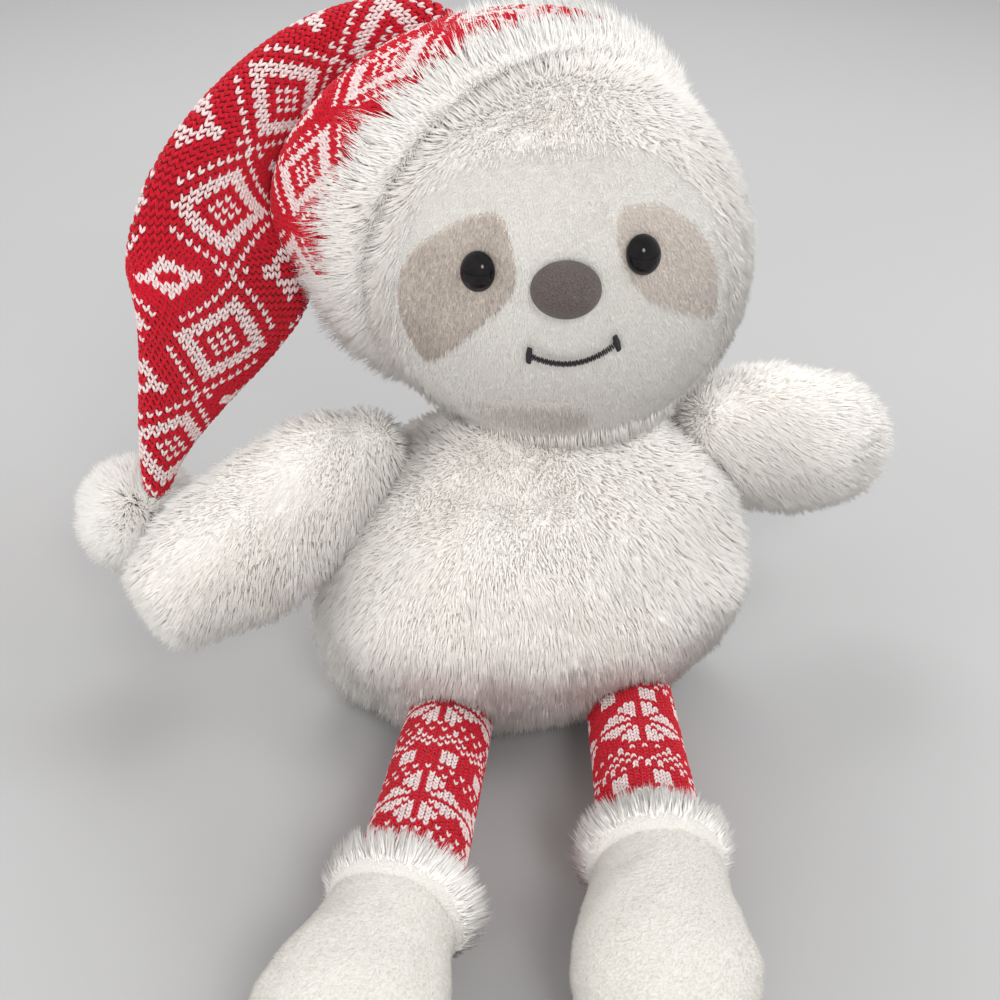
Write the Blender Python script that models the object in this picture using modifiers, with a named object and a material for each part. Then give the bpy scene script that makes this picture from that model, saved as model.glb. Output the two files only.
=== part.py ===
import math

import bmesh
import bpy
from mathutils import Matrix, Vector
from mathutils.bvhtree import BVHTree

mm = 0.001

# Clearances
piece_gap = 0.3 * mm
joint_gap = 0.3 * mm
stitch_gap = 0.5 * mm
filling_gap = 0.9 * mm
fold_gap = 2.6 * mm
# A sharp corner of a grown outline moves at most 1 / mitre_limit times as far as its edges
mitre_limit = 0.5
cutter_reach = 160 * mm
# a plain cage lies this much further in than the smooth form it backs
large_cage_step = 4 * mm
small_cage_step = 1.2 * mm

# Cloth and pile thickness of the covers
long_pile_wall = 5.0 * mm
short_pile_wall = 3.5 * mm
short_pile_step = 1.5 * mm
knit_wall = 2.2 * mm

# Torso, from the floor up to the neck crease
torso_height = 132 * mm
torso_half_width = 95 * mm
torso_half_depth = 70 * mm
torso_sink = 0.5 * mm
bag_height = 36 * mm
waist_share = 0.46
lean_back = 0.27
lean_side = 0.116
torso_sides = 12
# height, half width, half depth and set-back of each ring, as shares
torso_ring_shares = [
    (0.0, 0.52, 0.38, 0.08),
    (0.06, 0.74, 0.57, 0.07),
    (0.20, 0.91, 0.82, 0.05),
    (0.46, 1.02, 1.04, 0.0),
    (0.66, 0.94, 0.97, 0.0),
    (0.82, 0.74, 0.80, 0.02),
    (0.93, 0.50, 0.58, 0.04),
    (1.0, 0.32, 0.40, 0.06),
]

# Neck
neck_from_waist = 48 * mm
neck_radius = 34 * mm
neck_opening = 22 * mm
neck_nod = (-10, 12)
neck_pocket_share = 0.4

# Head
head_from_waist = 136 * mm
head_half_width = 85 * mm
head_half_depth = 75 * mm
head_half_height = 85 * mm
face_unit = 82 * mm
head_turn = math.radians(-10)
head_pitch = math.radians(-7)
head_tilt = math.radians(-6)
head_sides = 12
head_latitudes = (-67, -41, -14, 14, 41, 67)
face_outline_shares = [
    (0.0, 0.64),
    (0.28, 0.63),
    (0.54, 0.53),
    (0.70, 0.32),
    (0.79, 0.03),
    (0.79, -0.27),
    (0.70, -0.56),
    (0.50, -0.78),
    (0.24, -0.88),
    (0.0, -0.90),
]
patch_outline_shares = [
    (0.275, 0.385),
    (0.46, 0.355),
    (0.62, 0.245),
    (0.72, 0.085),
    (0.72, -0.13),
    (0.66, -0.27),
    (0.50, -0.20),
    (0.34, -0.02),
    (0.25, 0.115),
    (0.225, 0.25),
]
chin_outline_shares = [
    (-0.56, -0.41),
    (-0.40, -0.50),
    (-0.18, -0.545),
    (0.0, -0.55),
    (0.075, -0.61),
    (0.03, -0.69),
    (-0.16, -0.725),
    (-0.38, -0.70),
    (-0.52, -0.57),
]

# Eyes and nose, each a moulded cap on a post with a washer behind the cloth
eye_radius = 7.2 * mm
eye_height = 5.6 * mm
eye_post_radius = 1.8 * mm
eye_post_length = 15 * mm
eye_azimuth = math.radians(23.5)
eye_elevation = math.radians(10)
eye_washer_radius = 6.0 * mm
nose_half_width = 13.4 * mm
nose_half_height = 11.4 * mm
nose_depth = 9.5 * mm
nose_post_radius = 2.4 * mm
nose_post_length = 16 * mm
nose_elevation = math.radians(3.5)
nose_washer_radius = 8.0 * mm
washer_thickness = 1.6 * mm
cap_rim_share = 0.9
cap_rises = (12, 32, 52, 72)
bore_share = 1.3
cap_sides = 16
washer_sides = 12

# Mouth
mouth_half_angle = math.radians(12.5)
mouth_end_elevation = math.radians(-15.5)
mouth_drop = math.radians(5)
mouth_radius = 0.8 * mm
mouth_points = 9
mouth_sides = 6

# Hat
hat_axis = Vector((-0.33, 0.91, 0.23))
brim_offset = 33 * mm
brim_radius = 75 * mm
brim_half_width = 15 * mm
brim_half_depth = 8.5 * mm
brim_sides = 18
brim_section_sides = 8
crown_radius = 90 * mm
crown_shift = Vector((-5 * mm, 3 * mm, 4 * mm))
crown_sides = 12
# how far each ring has turned from the brim towards the fold, and its distance from the crown's centre
crown_ring_shares = [(0.0, 0.30), (0.25, 0.52), (0.60, 0.76), (0.95, 0.96)]
crown_top_share = 0.30
fold_from_head = Vector((-42 * mm, 64 * mm, 74 * mm))
fold_radius = 12 * mm
tail_half_width = 41 * mm
tail_half_thickness = 12 * mm
tail_length = 240 * mm
tail_sides = 10
# sideways, back and down from the fold, then half width and half thickness
tail_ring_shares = [
    (-0.12, -0.022, 0.0, 0.34, 0.74),
    (-0.225, -0.054, -0.035, 0.38, 0.88),
    (-0.33, -0.10, -0.13, 0.53, 0.95),
    (-0.383, -0.131, -0.225, 0.72, 0.92),
    (-0.386, -0.15, -0.304, 0.90, 0.9),
    (-0.370, -0.179, -0.378, 1.02, 0.85),
    (-0.425, -0.188, -0.485, 0.70, 0.76),
    (-0.486, -0.198, -0.595, 0.39, 0.62),
    (-0.520, -0.211, -0.68, 0.20, 0.46),
]
tail_tip_share = (-0.531, -0.218, -0.733)
tip_radius = 4.5 * mm
tip_room_radius = 3.7 * mm
pompom_swing = (-20, 20)
pompom_radius = 23 * mm
pompom_from_tip = Vector((-10 * mm, 11 * mm, -17 * mm))

# Arms
shoulder_right = Vector((-64 * mm, 18 * mm, 115 * mm))
shoulder_left = Vector((80 * mm, 27 * mm, 107 * mm))
arm_root_radius = 20 * mm
arm_right_length = 116 * mm
arm_left_length = 98 * mm
arm_half_width = 27 * mm
arm_half_depth = 35 * mm
arm_right_direction = Vector((-0.822, -0.39, -0.34))
arm_left_direction = Vector((0.90, 0.20, -0.31))
arm_sides = 10
arm_ring_shares = [
    (0.0, 0.62, 0.52),
    (0.18, 0.86, 0.92),
    (0.42, 1.0, 1.0),
    (0.70, 0.98, 0.94),
    (0.90, 0.74, 0.70),
]
arm_swing = (-10, 60)
arm_mouth_radius = 9 * mm
arm_mouth_shares = (1.5, 0.6)
# distance along the arm and radius, as shares of its length and half depth, of the room it swings in
arm_room_shares = [(0.20, 0.90), (0.45, 0.97), (0.70, 0.93)]

# Legs
hip_spread = 37 * mm
hip_depth = -22 * mm
hip_twist = 5 * mm
hip_height = 21 * mm
leg_length = 124 * mm
leg_root_radius = 17 * mm
leg_end_radius = 19 * mm
leg_sides = 12
leg_right_heading = math.radians(17)
leg_left_heading = math.radians(9)
leg_rise = 12 * mm
leg_swing = (-35, 10)

# Feet and cuffs
foot_length = 90 * mm
foot_half_width = 34 * mm
foot_half_height = 31 * mm
foot_height = 30.5 * mm
foot_right_heading = math.radians(27)
foot_left_heading = math.radians(10)
foot_sides = 10
foot_ring_shares = [
    (0.0, 0.70, 0.74),
    (0.28, 0.84, 0.88),
    (0.62, 1.02, 1.02),
    (0.88, 0.78, 0.80),
    (0.97, 0.40, 0.42),
]
ankle_flex = (-20, 20)
toe_share = 0.7
shin_share = 0.5
cuff_radius = 24 * mm
cuff_forward_share = 0.25
cuff_half_width = 7 * mm
cuff_half_depth = 5.5 * mm
cuff_sides = 12
cuff_section_sides = 6

root_sides = 20
root_rows = 10
neck_sides = 26
neck_rows = 13
plain_sides = 12
plain_rows = 6


def start_scene():
    for old in list(bpy.data.objects):
        bpy.data.objects.remove(old, do_unlink=True)
    parts = bpy.data.collections.new("plush_sloth")
    cutters = bpy.data.collections.new("cutters")
    bpy.context.scene.collection.children.link(parts)
    bpy.context.scene.collection.children.link(cutters)
    return parts, cutters


parts, cutters = start_scene()


def colour_material(name, colour, roughness, metallic=0.0):
    made = bpy.data.materials.new(name)
    made.use_nodes = True
    shader = made.node_tree.nodes["Principled BSDF"]
    shader.inputs["Base Color"].default_value = (*colour, 1.0)
    shader.inputs["Roughness"].default_value = roughness
    shader.inputs["Metallic"].default_value = metallic
    return made


def add_object(name, built, origin, cutter):
    """Turn a bmesh in world coordinates into an object whose origin is at the given point."""
    bmesh.ops.recalc_face_normals(built, faces=built.faces)
    if built.calc_volume(signed=True) < 0:
        bmesh.ops.reverse_faces(built, faces=built.faces)
    bmesh.ops.translate(built, verts=built.verts, vec=-origin)
    mesh = bpy.data.meshes.new(name)
    built.to_mesh(mesh)
    built.free()
    added = bpy.data.objects.new(name, mesh)
    added.location = origin
    (cutters if cutter else parts).objects.link(added)
    if cutter:
        added.hide_render = True
        added.display_type = "WIRE"
    else:
        for face in mesh.polygons:
            face.use_smooth = True
    return added


def ring_body(name, rings, sides, ends, levels=0, origin=None, cutter=False):
    """A closed body through elliptical rings: each ring is centre, half-width vector, half-depth vector."""
    swell = 1.0 / math.cos(math.pi / sides) if levels else 1.0
    built = bmesh.new()
    rows = []
    for centre, across, along in rings:
        row = []
        for k in range(sides):
            angle = 2 * math.pi * (k + 0.5) / sides
            spot = centre + (across * math.cos(angle) + along * math.sin(angle)) * swell
            row.append(built.verts.new(spot))
        rows.append(row)
    for low, high in zip(rows, rows[1:]):
        for k in range(sides):
            after = (k + 1) % sides
            built.faces.new((low[k], low[after], high[after], high[k]))
    for row, end in ((rows[0], ends[0]), (rows[-1], ends[1])):
        pole = built.verts.new(end)
        for k in range(sides):
            built.faces.new((row[k], row[(k + 1) % sides], pole))
    if not levels:
        bmesh.ops.triangulate(built, faces=built.faces, quad_method="FIXED")
    added = add_object(name, built, origin or Vector((0, 0, 0)), cutter)
    if levels:
        soft = added.modifiers.new("soft", "SUBSURF")
        soft.levels = levels
        soft.render_levels = levels
    return added


def loop_body(name, centre, axis, radius, half_width, half_depth, sides, section, origin=None, cutter=False):
    """A ring around an axis with an elliptical section: width runs along the axis, depth away from it."""
    bpy.ops.mesh.primitive_torus_add(
        major_radius=radius, minor_radius=half_depth, major_segments=sides, minor_segments=section
    )
    torus = bpy.context.active_object
    built = bmesh.new()
    built.from_mesh(torus.data)
    bpy.data.objects.remove(torus, do_unlink=True)
    flatten = Matrix.Diagonal((1, 1, half_width / half_depth, 1))
    turn = axis.to_track_quat("Z", "X").to_matrix().to_4x4()
    built.transform(Matrix.Translation(centre) @ turn @ flatten)
    return add_object(name, built, origin or Vector((0, 0, 0)), cutter)


def room_for(radius, clearance, sides, rows):
    """Radius of a faceted ball that leaves the clearance all round a ball of the given radius."""
    return (radius + clearance) / (math.cos(math.pi / sides) * math.cos(math.pi / (2 * rows)))


def ball(name, centre, radius, cutter=True, origin=None, sides=root_sides, rows=root_rows):
    built = bmesh.new()
    bmesh.ops.create_uvsphere(built, u_segments=sides, v_segments=rows, radius=radius)
    bmesh.ops.translate(built, verts=built.verts, vec=centre)
    return add_object(name, built, origin or Vector((0, 0, 0)), cutter)


def box(name, low, high):
    built = bmesh.new()
    bmesh.ops.create_cube(built, size=1.0)
    for vertex in built.verts:
        for i in range(3):
            vertex.co[i] = low[i] if vertex.co[i] < 0 else high[i]
    return add_object(name, built, Vector((0, 0, 0)), True)


def spread_outline(outline, spread):
    """Move every edge of a flat outline outward by the same amount."""
    flat = [Vector(p) for p in outline]
    area = sum(p.x * q.y - q.x * p.y for p, q in zip(flat, flat[1:] + flat[:1]))
    outward = 1 if area > 0 else -1
    count = len(flat)
    moved = []
    for k, here in enumerate(flat):
        into = (here - flat[k - 1]).normalized()
        away = (flat[(k + 1) % count] - here).normalized()
        first = Vector((into.y, -into.x)) * outward
        second = Vector((away.y, -away.x)) * outward
        middle = (first + second).normalized()
        moved.append(here + middle * (spread / max(middle.dot(first), mitre_limit)))
    return moved


def prism(name, outline, spread=0.0):
    """A straight-sided cutter out of the face, square to it, its outline grown by the given spread."""
    built = bmesh.new()
    rows = []
    for depth in (0, cutter_reach):
        row = []
        for flat in spread_outline(outline, spread):
            row.append(built.verts.new(head_place @ Vector((flat.x, -depth, flat.y))))
        rows.append(row)
    count = len(outline)
    for k in range(count):
        after = (k + 1) % count
        built.faces.new((rows[0][k], rows[0][after], rows[1][after], rows[1][k]))
    built.faces.new(rows[0])
    built.faces.new(list(reversed(rows[1])))
    return add_object(name, built, Vector((0, 0, 0)), True)


def combine(target, other, operation):
    step = target.modifiers.new(operation.lower(), "BOOLEAN")
    step.operation = operation
    step.solver = "EXACT"
    step.object = other
    return target


def cut(target, *others):
    for other in others:
        combine(target, other, "DIFFERENCE")
    return target


def keep(target, other):
    return combine(target, other, "INTERSECT")


def join(target, other):
    return combine(target, other, "UNION")


def cross_axes(axis):
    """Two directions square to an axis, the first level."""
    side = Vector((0, 0, 1)).cross(axis)
    side = side.normalized() if side.length > piece_gap else Vector((1, 0, 0))
    return side, axis.cross(side).normalized()


def turn_about(point, pivot, axis, degrees):
    return Matrix.Rotation(math.radians(degrees), 3, axis) @ (point - pivot) + pivot


def swept_hull(name, capsule, pivot, axis, angles, clearance):
    """The room a tapered limb needs through its swing, as one convex cutter, finest at its root."""
    built = bmesh.new()
    for degrees in angles:
        for k, (centre, radius) in enumerate(capsule):
            sides, rows = (plain_sides, plain_rows) if k else (root_sides, root_rows)
            moved = turn_about(centre, pivot, axis, degrees)
            room = room_for(radius, clearance, sides, rows)
            made = bmesh.ops.create_uvsphere(built, u_segments=sides, v_segments=rows, radius=room)
            bmesh.ops.translate(built, verts=made["verts"], vec=moved)
    return hull_object(name, built)


def swept_form(name, form, pivot, axis, angles):
    """The room a convex form needs while it turns about a pivot, as one convex cutter."""
    spots = form_spots(form)
    built = bmesh.new()
    for degrees in angles:
        for spot in spots:
            built.verts.new(turn_about(spot, pivot, axis, degrees))
    return hull_object(name, built)


def hull_object(name, built):
    hull = bmesh.ops.convex_hull(built, input=built.verts, use_existing_faces=False)
    kept = {item for item in hull["geom"] if isinstance(item, bmesh.types.BMFace)}
    bmesh.ops.delete(built, geom=[f for f in built.faces if f not in kept], context="FACES_ONLY")
    loose = [v for v in built.verts if not v.link_faces]
    bmesh.ops.delete(built, geom=loose, context="VERTS")
    loose_edges = [e for e in built.edges if not e.link_faces]
    bmesh.ops.delete(built, geom=loose_edges, context="EDGES")
    return add_object(name, built, Vector((0, 0, 0)), True)


def swing_steps(limits, count=5):
    low, high = limits
    return [low + (high - low) * k / (count - 1) for k in range(count)]


# Places that every piece is set out from
waist = Vector((0, 0, torso_height * waist_share))
torso_axis = Vector((lean_side, lean_back, 1)).normalized()
neck = waist + torso_axis * neck_from_waist
head_centre = waist + torso_axis * head_from_waist
head_turned = (
    Matrix.Rotation(head_turn, 3, "Z") @ Matrix.Rotation(head_pitch, 3, "X") @ Matrix.Rotation(head_tilt, 3, "Y")
)
head_place = Matrix.Translation(head_centre) @ head_turned.to_4x4()
level = Vector((1, 0, 0))
upward = Vector((0, 0, 1))
hat_axis.normalize()
fold = head_centre + fold_from_head
tail_tip = fold + Vector(tail_tip_share) * tail_length
pompom_centre = tail_tip + pompom_from_tip


def torso_rings(inset):
    middle = torso_height / 2
    squeeze = 1 - inset / middle
    rings = []
    for height_share, width_share, depth_share, back_share in torso_ring_shares:
        height = height_share * torso_height
        rise = height - waist.z
        centre = Vector((lean_side * rise, max(rise, 0.0) * lean_back + back_share * torso_half_depth, 0))
        centre.z = middle + (height - middle) * squeeze
        across = level * (width_share * torso_half_width - inset)
        along = Vector((0, depth_share * torso_half_depth - inset, 0))
        rings.append((centre, across, along))
    low = rings[0][0].copy()
    high = rings[-1][0].copy()
    low.z = inset - torso_sink
    high.z += torso_sink
    return rings, (low, high)


def torso_body(name, inset, cutter=False, levels=1):
    rings, ends = torso_rings(inset)
    return ring_body(name, rings, torso_sides, ends, levels=levels, cutter=cutter)


def head_body(name, inset, origin=None, cutter=False, levels=1):
    wide = head_half_width - inset
    deep = head_half_depth - inset
    tall = head_half_height - inset
    rings = []
    for latitude in head_latitudes:
        turn = math.radians(latitude)
        centre = head_place @ Vector((0, 0, tall * math.sin(turn)))
        across = head_turned @ Vector((wide * math.cos(turn), 0, 0))
        along = head_turned @ Vector((0, deep * math.cos(turn), 0))
        rings.append((centre, across, along))
    ends = (head_place @ Vector((0, 0, -tall)), head_place @ Vector((0, 0, tall)))
    return ring_body(name, rings, head_sides, ends, levels=levels, origin=origin, cutter=cutter)


def limb_rings(start, direction, shares, length, half_width, half_depth, inset):
    side, up = cross_axes(direction)
    rings = []
    middle = 0.5
    squeeze = 1 - 2 * inset / length
    for along_share, width_share, depth_share in shares:
        share = middle + (along_share - middle) * squeeze
        centre = start + direction * (share * length)
        rings.append((centre, side * (width_share * half_width - inset), up * (depth_share * half_depth - inset)))
    first = start + direction * (middle - middle * squeeze - shares[1][0] / 2) * length
    last = start + direction * ((middle + middle * squeeze) * length)
    return rings, (first, last)


def surface_tree(target):
    bpy.context.view_layer.update()
    graph = bpy.context.evaluated_depsgraph_get()
    shown = target.evaluated_get(graph)
    mesh = shown.to_mesh()
    spots = [shown.matrix_world @ v.co for v in mesh.vertices]
    faces = [tuple(p.vertices) for p in mesh.polygons]
    shown.to_mesh_clear()
    return BVHTree.FromPolygons(spots, faces)


def form_spots(target):
    bpy.context.view_layer.update()
    shown = target.evaluated_get(bpy.context.evaluated_depsgraph_get())
    mesh = shown.to_mesh()
    spots = [shown.matrix_world @ v.co for v in mesh.vertices]
    shown.to_mesh_clear()
    return spots


def face_spot(tree, azimuth, elevation):
    """Where a direction from the head centre leaves the face, with the smooth form's normal there."""
    flat = math.cos(elevation)
    local = Vector((math.sin(azimuth) * flat, -math.cos(azimuth) * flat, math.sin(elevation)))
    ray = head_turned @ local
    far = head_centre + ray * cutter_reach
    spot = tree.ray_cast(far, -ray)[0]
    inward = head_place.inverted() @ spot
    normal = Vector(
        (inward.x / head_half_width**2, inward.y / head_half_depth**2, inward.z / head_half_height**2)
    )
    return spot, (head_turned @ normal).normalized()


def cap_on_post(name, spot, normal, sizes, post_radius, post_length, origin):
    """A domed cap lying on the face, its post running back through the cloth."""
    half_width, half_height, depth = sizes
    side = upward.cross(normal).normalized()
    up = normal.cross(side).normalized()
    start = spot + normal * stitch_gap

    def ring(height, wide, tall):
        return (start + normal * height, side * wide, up * tall)

    rings = [ring(-post_length, post_radius, post_radius), ring(-piece_gap, post_radius, post_radius)]
    rings.append(ring(0, half_width * cap_rim_share, half_height * cap_rim_share))
    for turn in cap_rises:
        angle = math.radians(turn)
        rings.append(ring(depth * math.sin(angle), half_width * math.cos(angle), half_height * math.cos(angle)))
    ends = (start - normal * post_length, start + normal * depth)
    return ring_body(name, rings, cap_sides, ends, origin=origin)


def rod(name, start, finish, start_radius, finish_radius, sides, origin=None, cutter=False):
    """A straight cylinder or cone between two points."""
    built = bmesh.new()
    along = finish - start
    bmesh.ops.create_cone(
        built, cap_ends=True, segments=sides, radius1=start_radius, radius2=finish_radius, depth=along.length
    )
    turn = along.to_track_quat("Z", "X").to_matrix().to_4x4()
    built.transform(Matrix.Translation((start + finish) / 2) @ turn)
    return add_object(name, built, origin or Vector((0, 0, 0)), cutter)


def disc(name, spot, normal, radius, back, front, origin=None, cutter=False):
    """A short cylinder square to a surface, between two depths behind the spot."""
    sizes = (spot - normal * back, spot - normal * front, radius, radius, washer_sides)
    return rod(name, *sizes, origin=origin, cutter=cutter)


def mirrored(outline):
    return [(-x, z) for x, z in reversed(outline)]


def sized(shares):
    return [(x * face_unit, z * face_unit) for x, z in shares]


# Floor and limb cutters
floor_box = box("floor_cut", (-cutter_reach, -cutter_reach * 2, -cutter_reach), (cutter_reach, cutter_reach * 2, 0))


def arm_capsule(pivot, direction, length):
    capsule = [(pivot, arm_root_radius)]
    for travel, swell in arm_room_shares:
        capsule.append((pivot + direction * (length * travel), arm_half_depth * swell))
    return capsule


def leg_capsule(pivot, direction):
    return [(pivot, leg_root_radius), (pivot + direction * leg_length, leg_end_radius)]


arms = {
    "right": (shoulder_right, arm_right_direction.normalized(), arm_right_length),
    "left": (shoulder_left, arm_left_direction.normalized(), arm_left_length),
}


def heading(angle, drop):
    flat = Vector((math.sin(angle), -math.cos(angle), 0))
    return (flat + upward * drop).normalized()


leg_slope = leg_rise / leg_length
legs = {
    "right": (Vector((-hip_spread, hip_depth - hip_twist, hip_height)), heading(-leg_right_heading, leg_slope)),
    "left": (Vector((hip_spread, hip_depth + hip_twist, hip_height)), heading(-leg_left_heading, leg_slope)),
}
ankles = {side: pivot + direction * leg_length for side, (pivot, direction) in legs.items()}
foot_headings = {"right": -foot_right_heading, "left": -foot_left_heading}

limb_room = []
for side, (pivot, direction, length) in arms.items():
    capsule = arm_capsule(pivot, direction, length)
    swing = [-degrees for degrees in swing_steps(arm_swing)]
    limb_room.append(swept_hull(f"arm_{side}_room", capsule, pivot, level, swing, joint_gap))
for side, (pivot, direction) in legs.items():
    swing = [-degrees for degrees in swing_steps(leg_swing)]
    limb_room.append(
        swept_hull(f"leg_{side}_room", leg_capsule(pivot, direction), pivot, level, swing, joint_gap)
    )

# Materials
white_pile = colour_material("white_pile", (0.82, 0.78, 0.74), 0.95)
short_pile = colour_material("short_white_pile", (0.84, 0.81, 0.78), 0.95)
taupe_pile = colour_material("taupe_pile", (0.50, 0.44, 0.38), 0.95)
red_knit = colour_material("red_knit", (0.55, 0.01, 0.02), 0.9)
black_plastic = colour_material("black_plastic", (0.005, 0.005, 0.006), 0.08)
brown_flock = colour_material("brown_flock", (0.18, 0.14, 0.13), 0.85)
black_thread = colour_material("black_thread", (0.01, 0.01, 0.012), 0.6)
white_filling = colour_material("white_filling", (0.85, 0.85, 0.83), 1.0)
bag_cloth = colour_material("bag_cloth", (0.75, 0.74, 0.70), 0.9)
washer_plastic = colour_material("washer_plastic", (0.80, 0.80, 0.78), 0.5)


def dress(target, material):
    target.data.materials.append(material)
    return target


# Torso cover, filling and pellet bag
torso_inner = torso_body("torso_inner", long_pile_wall + large_cage_step, cutter=True, levels=0)
neck_ball = ball("neck_ball", neck, neck_radius, sides=neck_sides, rows=neck_rows)
neck_core = ball("neck_core", neck, neck_radius - long_pile_wall, sides=plain_sides, rows=plain_rows)
neck_mouth = disc("neck_mouth", neck, -torso_axis, neck_opening, neck_from_waist * neck_pocket_share, cutter_reach / 2, cutter=True)
nod_steps = swing_steps(neck_nod)
head_rooms = {}
for label, wall in (("outer", 0.0), ("inner", long_pile_wall), ("filling", long_pile_wall + filling_gap)):
    form = head_body(f"head_{label}_form", -joint_gap - wall, cutter=True, levels=0 if wall else 1)
    head_rooms[label] = swept_form(f"head_{label}_room", form, neck, level, nod_steps)
body_cover = torso_body("body_cover", 0.0)
cut(body_cover, head_rooms["outer"])
join(body_cover, neck_ball)
cut(torso_inner, head_rooms["inner"])
cut(body_cover, torso_inner, neck_core, neck_mouth, *limb_room, floor_box)
dress(body_cover, white_pile)

filling_inset = long_pile_wall + filling_gap
large_filling_inset = filling_inset + large_cage_step
small_filling_inset = filling_inset + small_cage_step
bag_top = box("bag_top", (-cutter_reach, -cutter_reach, -cutter_reach), (cutter_reach, cutter_reach, bag_height))
bag_room = box(
    "bag_room", (-cutter_reach, -cutter_reach, -cutter_reach), (cutter_reach, cutter_reach, bag_height + piece_gap)
)
body_filling = torso_body("body_filling", large_filling_inset, levels=0)
cut(body_filling, head_rooms["filling"])
neck_filling = ball("neck_filling", neck, neck_radius - filling_inset, sides=plain_sides, rows=plain_rows)
join(body_filling, neck_filling)
cut(body_filling, bag_room, *limb_room)
dress(body_filling, white_filling)
pellet_bag = torso_body("pellet_bag", large_filling_inset, levels=0)
cut(pellet_bag, *limb_room)
keep(pellet_bag, bag_top)
dress(pellet_bag, bag_cloth)

# Head cover, face panel, patches and filling
neck_room = ball(
    "neck_room", neck, room_for(neck_radius, joint_gap, neck_sides, neck_rows), sides=neck_sides, rows=neck_rows
)
face_wall = short_pile_wall + short_pile_step
head_inner = head_body("head_inner", long_pile_wall + large_cage_step, cutter=True, levels=0)
face_half = sized(face_outline_shares)
face_outline = face_half + mirrored(face_half[1:-1])
patch_left_outline = sized(patch_outline_shares)
patch_outlines = {"left": patch_left_outline, "right": mirrored(patch_left_outline)}
chin_outline = sized(chin_outline_shares)
face_prism = prism("face_prism", face_outline)
face_room = prism("face_room", face_outline, piece_gap)
chin_prism = prism("chin_prism", chin_outline)
chin_room = prism("chin_room", chin_outline, piece_gap)
patch_prisms = {side: prism(f"patch_{side}_prism", o) for side, o in patch_outlines.items()}
patch_rooms = {side: prism(f"patch_{side}_room", o, piece_gap) for side, o in patch_outlines.items()}
head_cover = head_body("head_cover", 0.0, origin=neck)
cut(head_cover, head_inner, face_room, neck_room)
dress(head_cover, white_pile)

face_form = head_body("face_form", short_pile_step, cutter=True)
tree = surface_tree(face_form)
eye_spots = {
    "right": face_spot(tree, -eye_azimuth, eye_elevation),
    "left": face_spot(tree, eye_azimuth, eye_elevation),
}
nose_spot = face_spot(tree, 0, nose_elevation)
eye_holes = {
    s: disc(f"eye_{s}_hole", p, n, eye_post_radius + piece_gap, eye_post_length * bore_share, -eye_post_length, cutter=True)
    for s, (p, n) in eye_spots.items()
}
nose_hole = disc(
    "nose_hole", *nose_spot, nose_post_radius + piece_gap, nose_post_length * bore_share, -nose_post_length, cutter=True
)

face_panel = head_body("face_panel", short_pile_step, origin=neck)
keep(face_panel, face_prism)
cut(face_panel, head_inner, *patch_rooms.values(), chin_room, neck_room, nose_hole)
dress(face_panel, short_pile)
for side, outline in patch_prisms.items():
    patch = head_body(f"eye_patch_{side}", short_pile_step, origin=neck)
    keep(patch, outline)
    cut(patch, head_inner, eye_holes[side])
    dress(patch, taupe_pile)
chin_patch = head_body("chin_patch", short_pile_step, origin=neck)
keep(chin_patch, chin_prism)
cut(chin_patch, head_inner, neck_room)
dress(chin_patch, taupe_pile)

# Eyes, nose and their washers
head_filling = head_body("head_filling", large_filling_inset, origin=neck, levels=0)
cut(head_filling, neck_room)
washer_front = filling_inset + large_cage_step
fittings = [
    (f"eye_{s}", p, n, (eye_radius, eye_radius, eye_height), eye_post_radius, eye_post_length, eye_washer_radius)
    for s, (p, n) in eye_spots.items()
]
nose_sizes = (nose_half_width, nose_half_height, nose_depth)
fittings.append(("nose", *nose_spot, nose_sizes, nose_post_radius, nose_post_length, nose_washer_radius))
for name, spot, normal, sizes, post_radius, post_length, washer_radius in fittings:
    fitting = cap_on_post(name, spot, normal, sizes, post_radius, post_length, neck)
    dress(fitting, brown_flock if name == "nose" else black_plastic)
    washer_back = washer_front + washer_thickness
    washer = disc(f"{name}_washer", spot, normal, washer_radius, washer_back, washer_front, origin=neck)
    bore_radius = post_radius + piece_gap
    bore = disc(f"{name}_bore", spot, normal, bore_radius, post_length * bore_share, -post_length, cutter=True)
    cut(washer, bore)
    dress(washer, washer_plastic)
    side, up = cross_axes(normal)
    steps = [
        (0, washer_radius + piece_gap),
        (washer_back + piece_gap, washer_radius + piece_gap),
        (washer_back + piece_gap, bore_radius),
        (post_length * bore_share, bore_radius),
    ]
    pocket_rings = [(spot - normal * depth, side * wide, up * wide) for depth, wide in steps]
    pocket_ends = (spot, spot - normal * (post_length * bore_share))
    pocket = ring_body(f"{name}_pocket", pocket_rings, washer_sides, pocket_ends, cutter=True)
    cut(head_filling, pocket)
dress(head_filling, white_filling)


def mouth_stitch():
    """Thick embroidered line: a shallow smile lying just above the cloth."""
    spots = []
    for k in range(mouth_points):
        share = 2 * k / (mouth_points - 1) - 1
        elevation = mouth_end_elevation - mouth_drop * (1 - share * share)
        spot, normal = face_spot(tree, share * mouth_half_angle, elevation)
        spots.append((spot + normal * (mouth_radius + stitch_gap), normal))
    rings = []
    for k, (spot, normal) in enumerate(spots):
        before = spots[max(k - 1, 0)][0]
        after = spots[min(k + 1, mouth_points - 1)][0]
        forward = (after - before).normalized()
        rings.append((spot, normal * mouth_radius, forward.cross(normal) * mouth_radius))
    return ring_body("mouth_stitch", rings, mouth_sides, (spots[0][0], spots[-1][0]), origin=neck)


dress(mouth_stitch(), black_thread)

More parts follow.
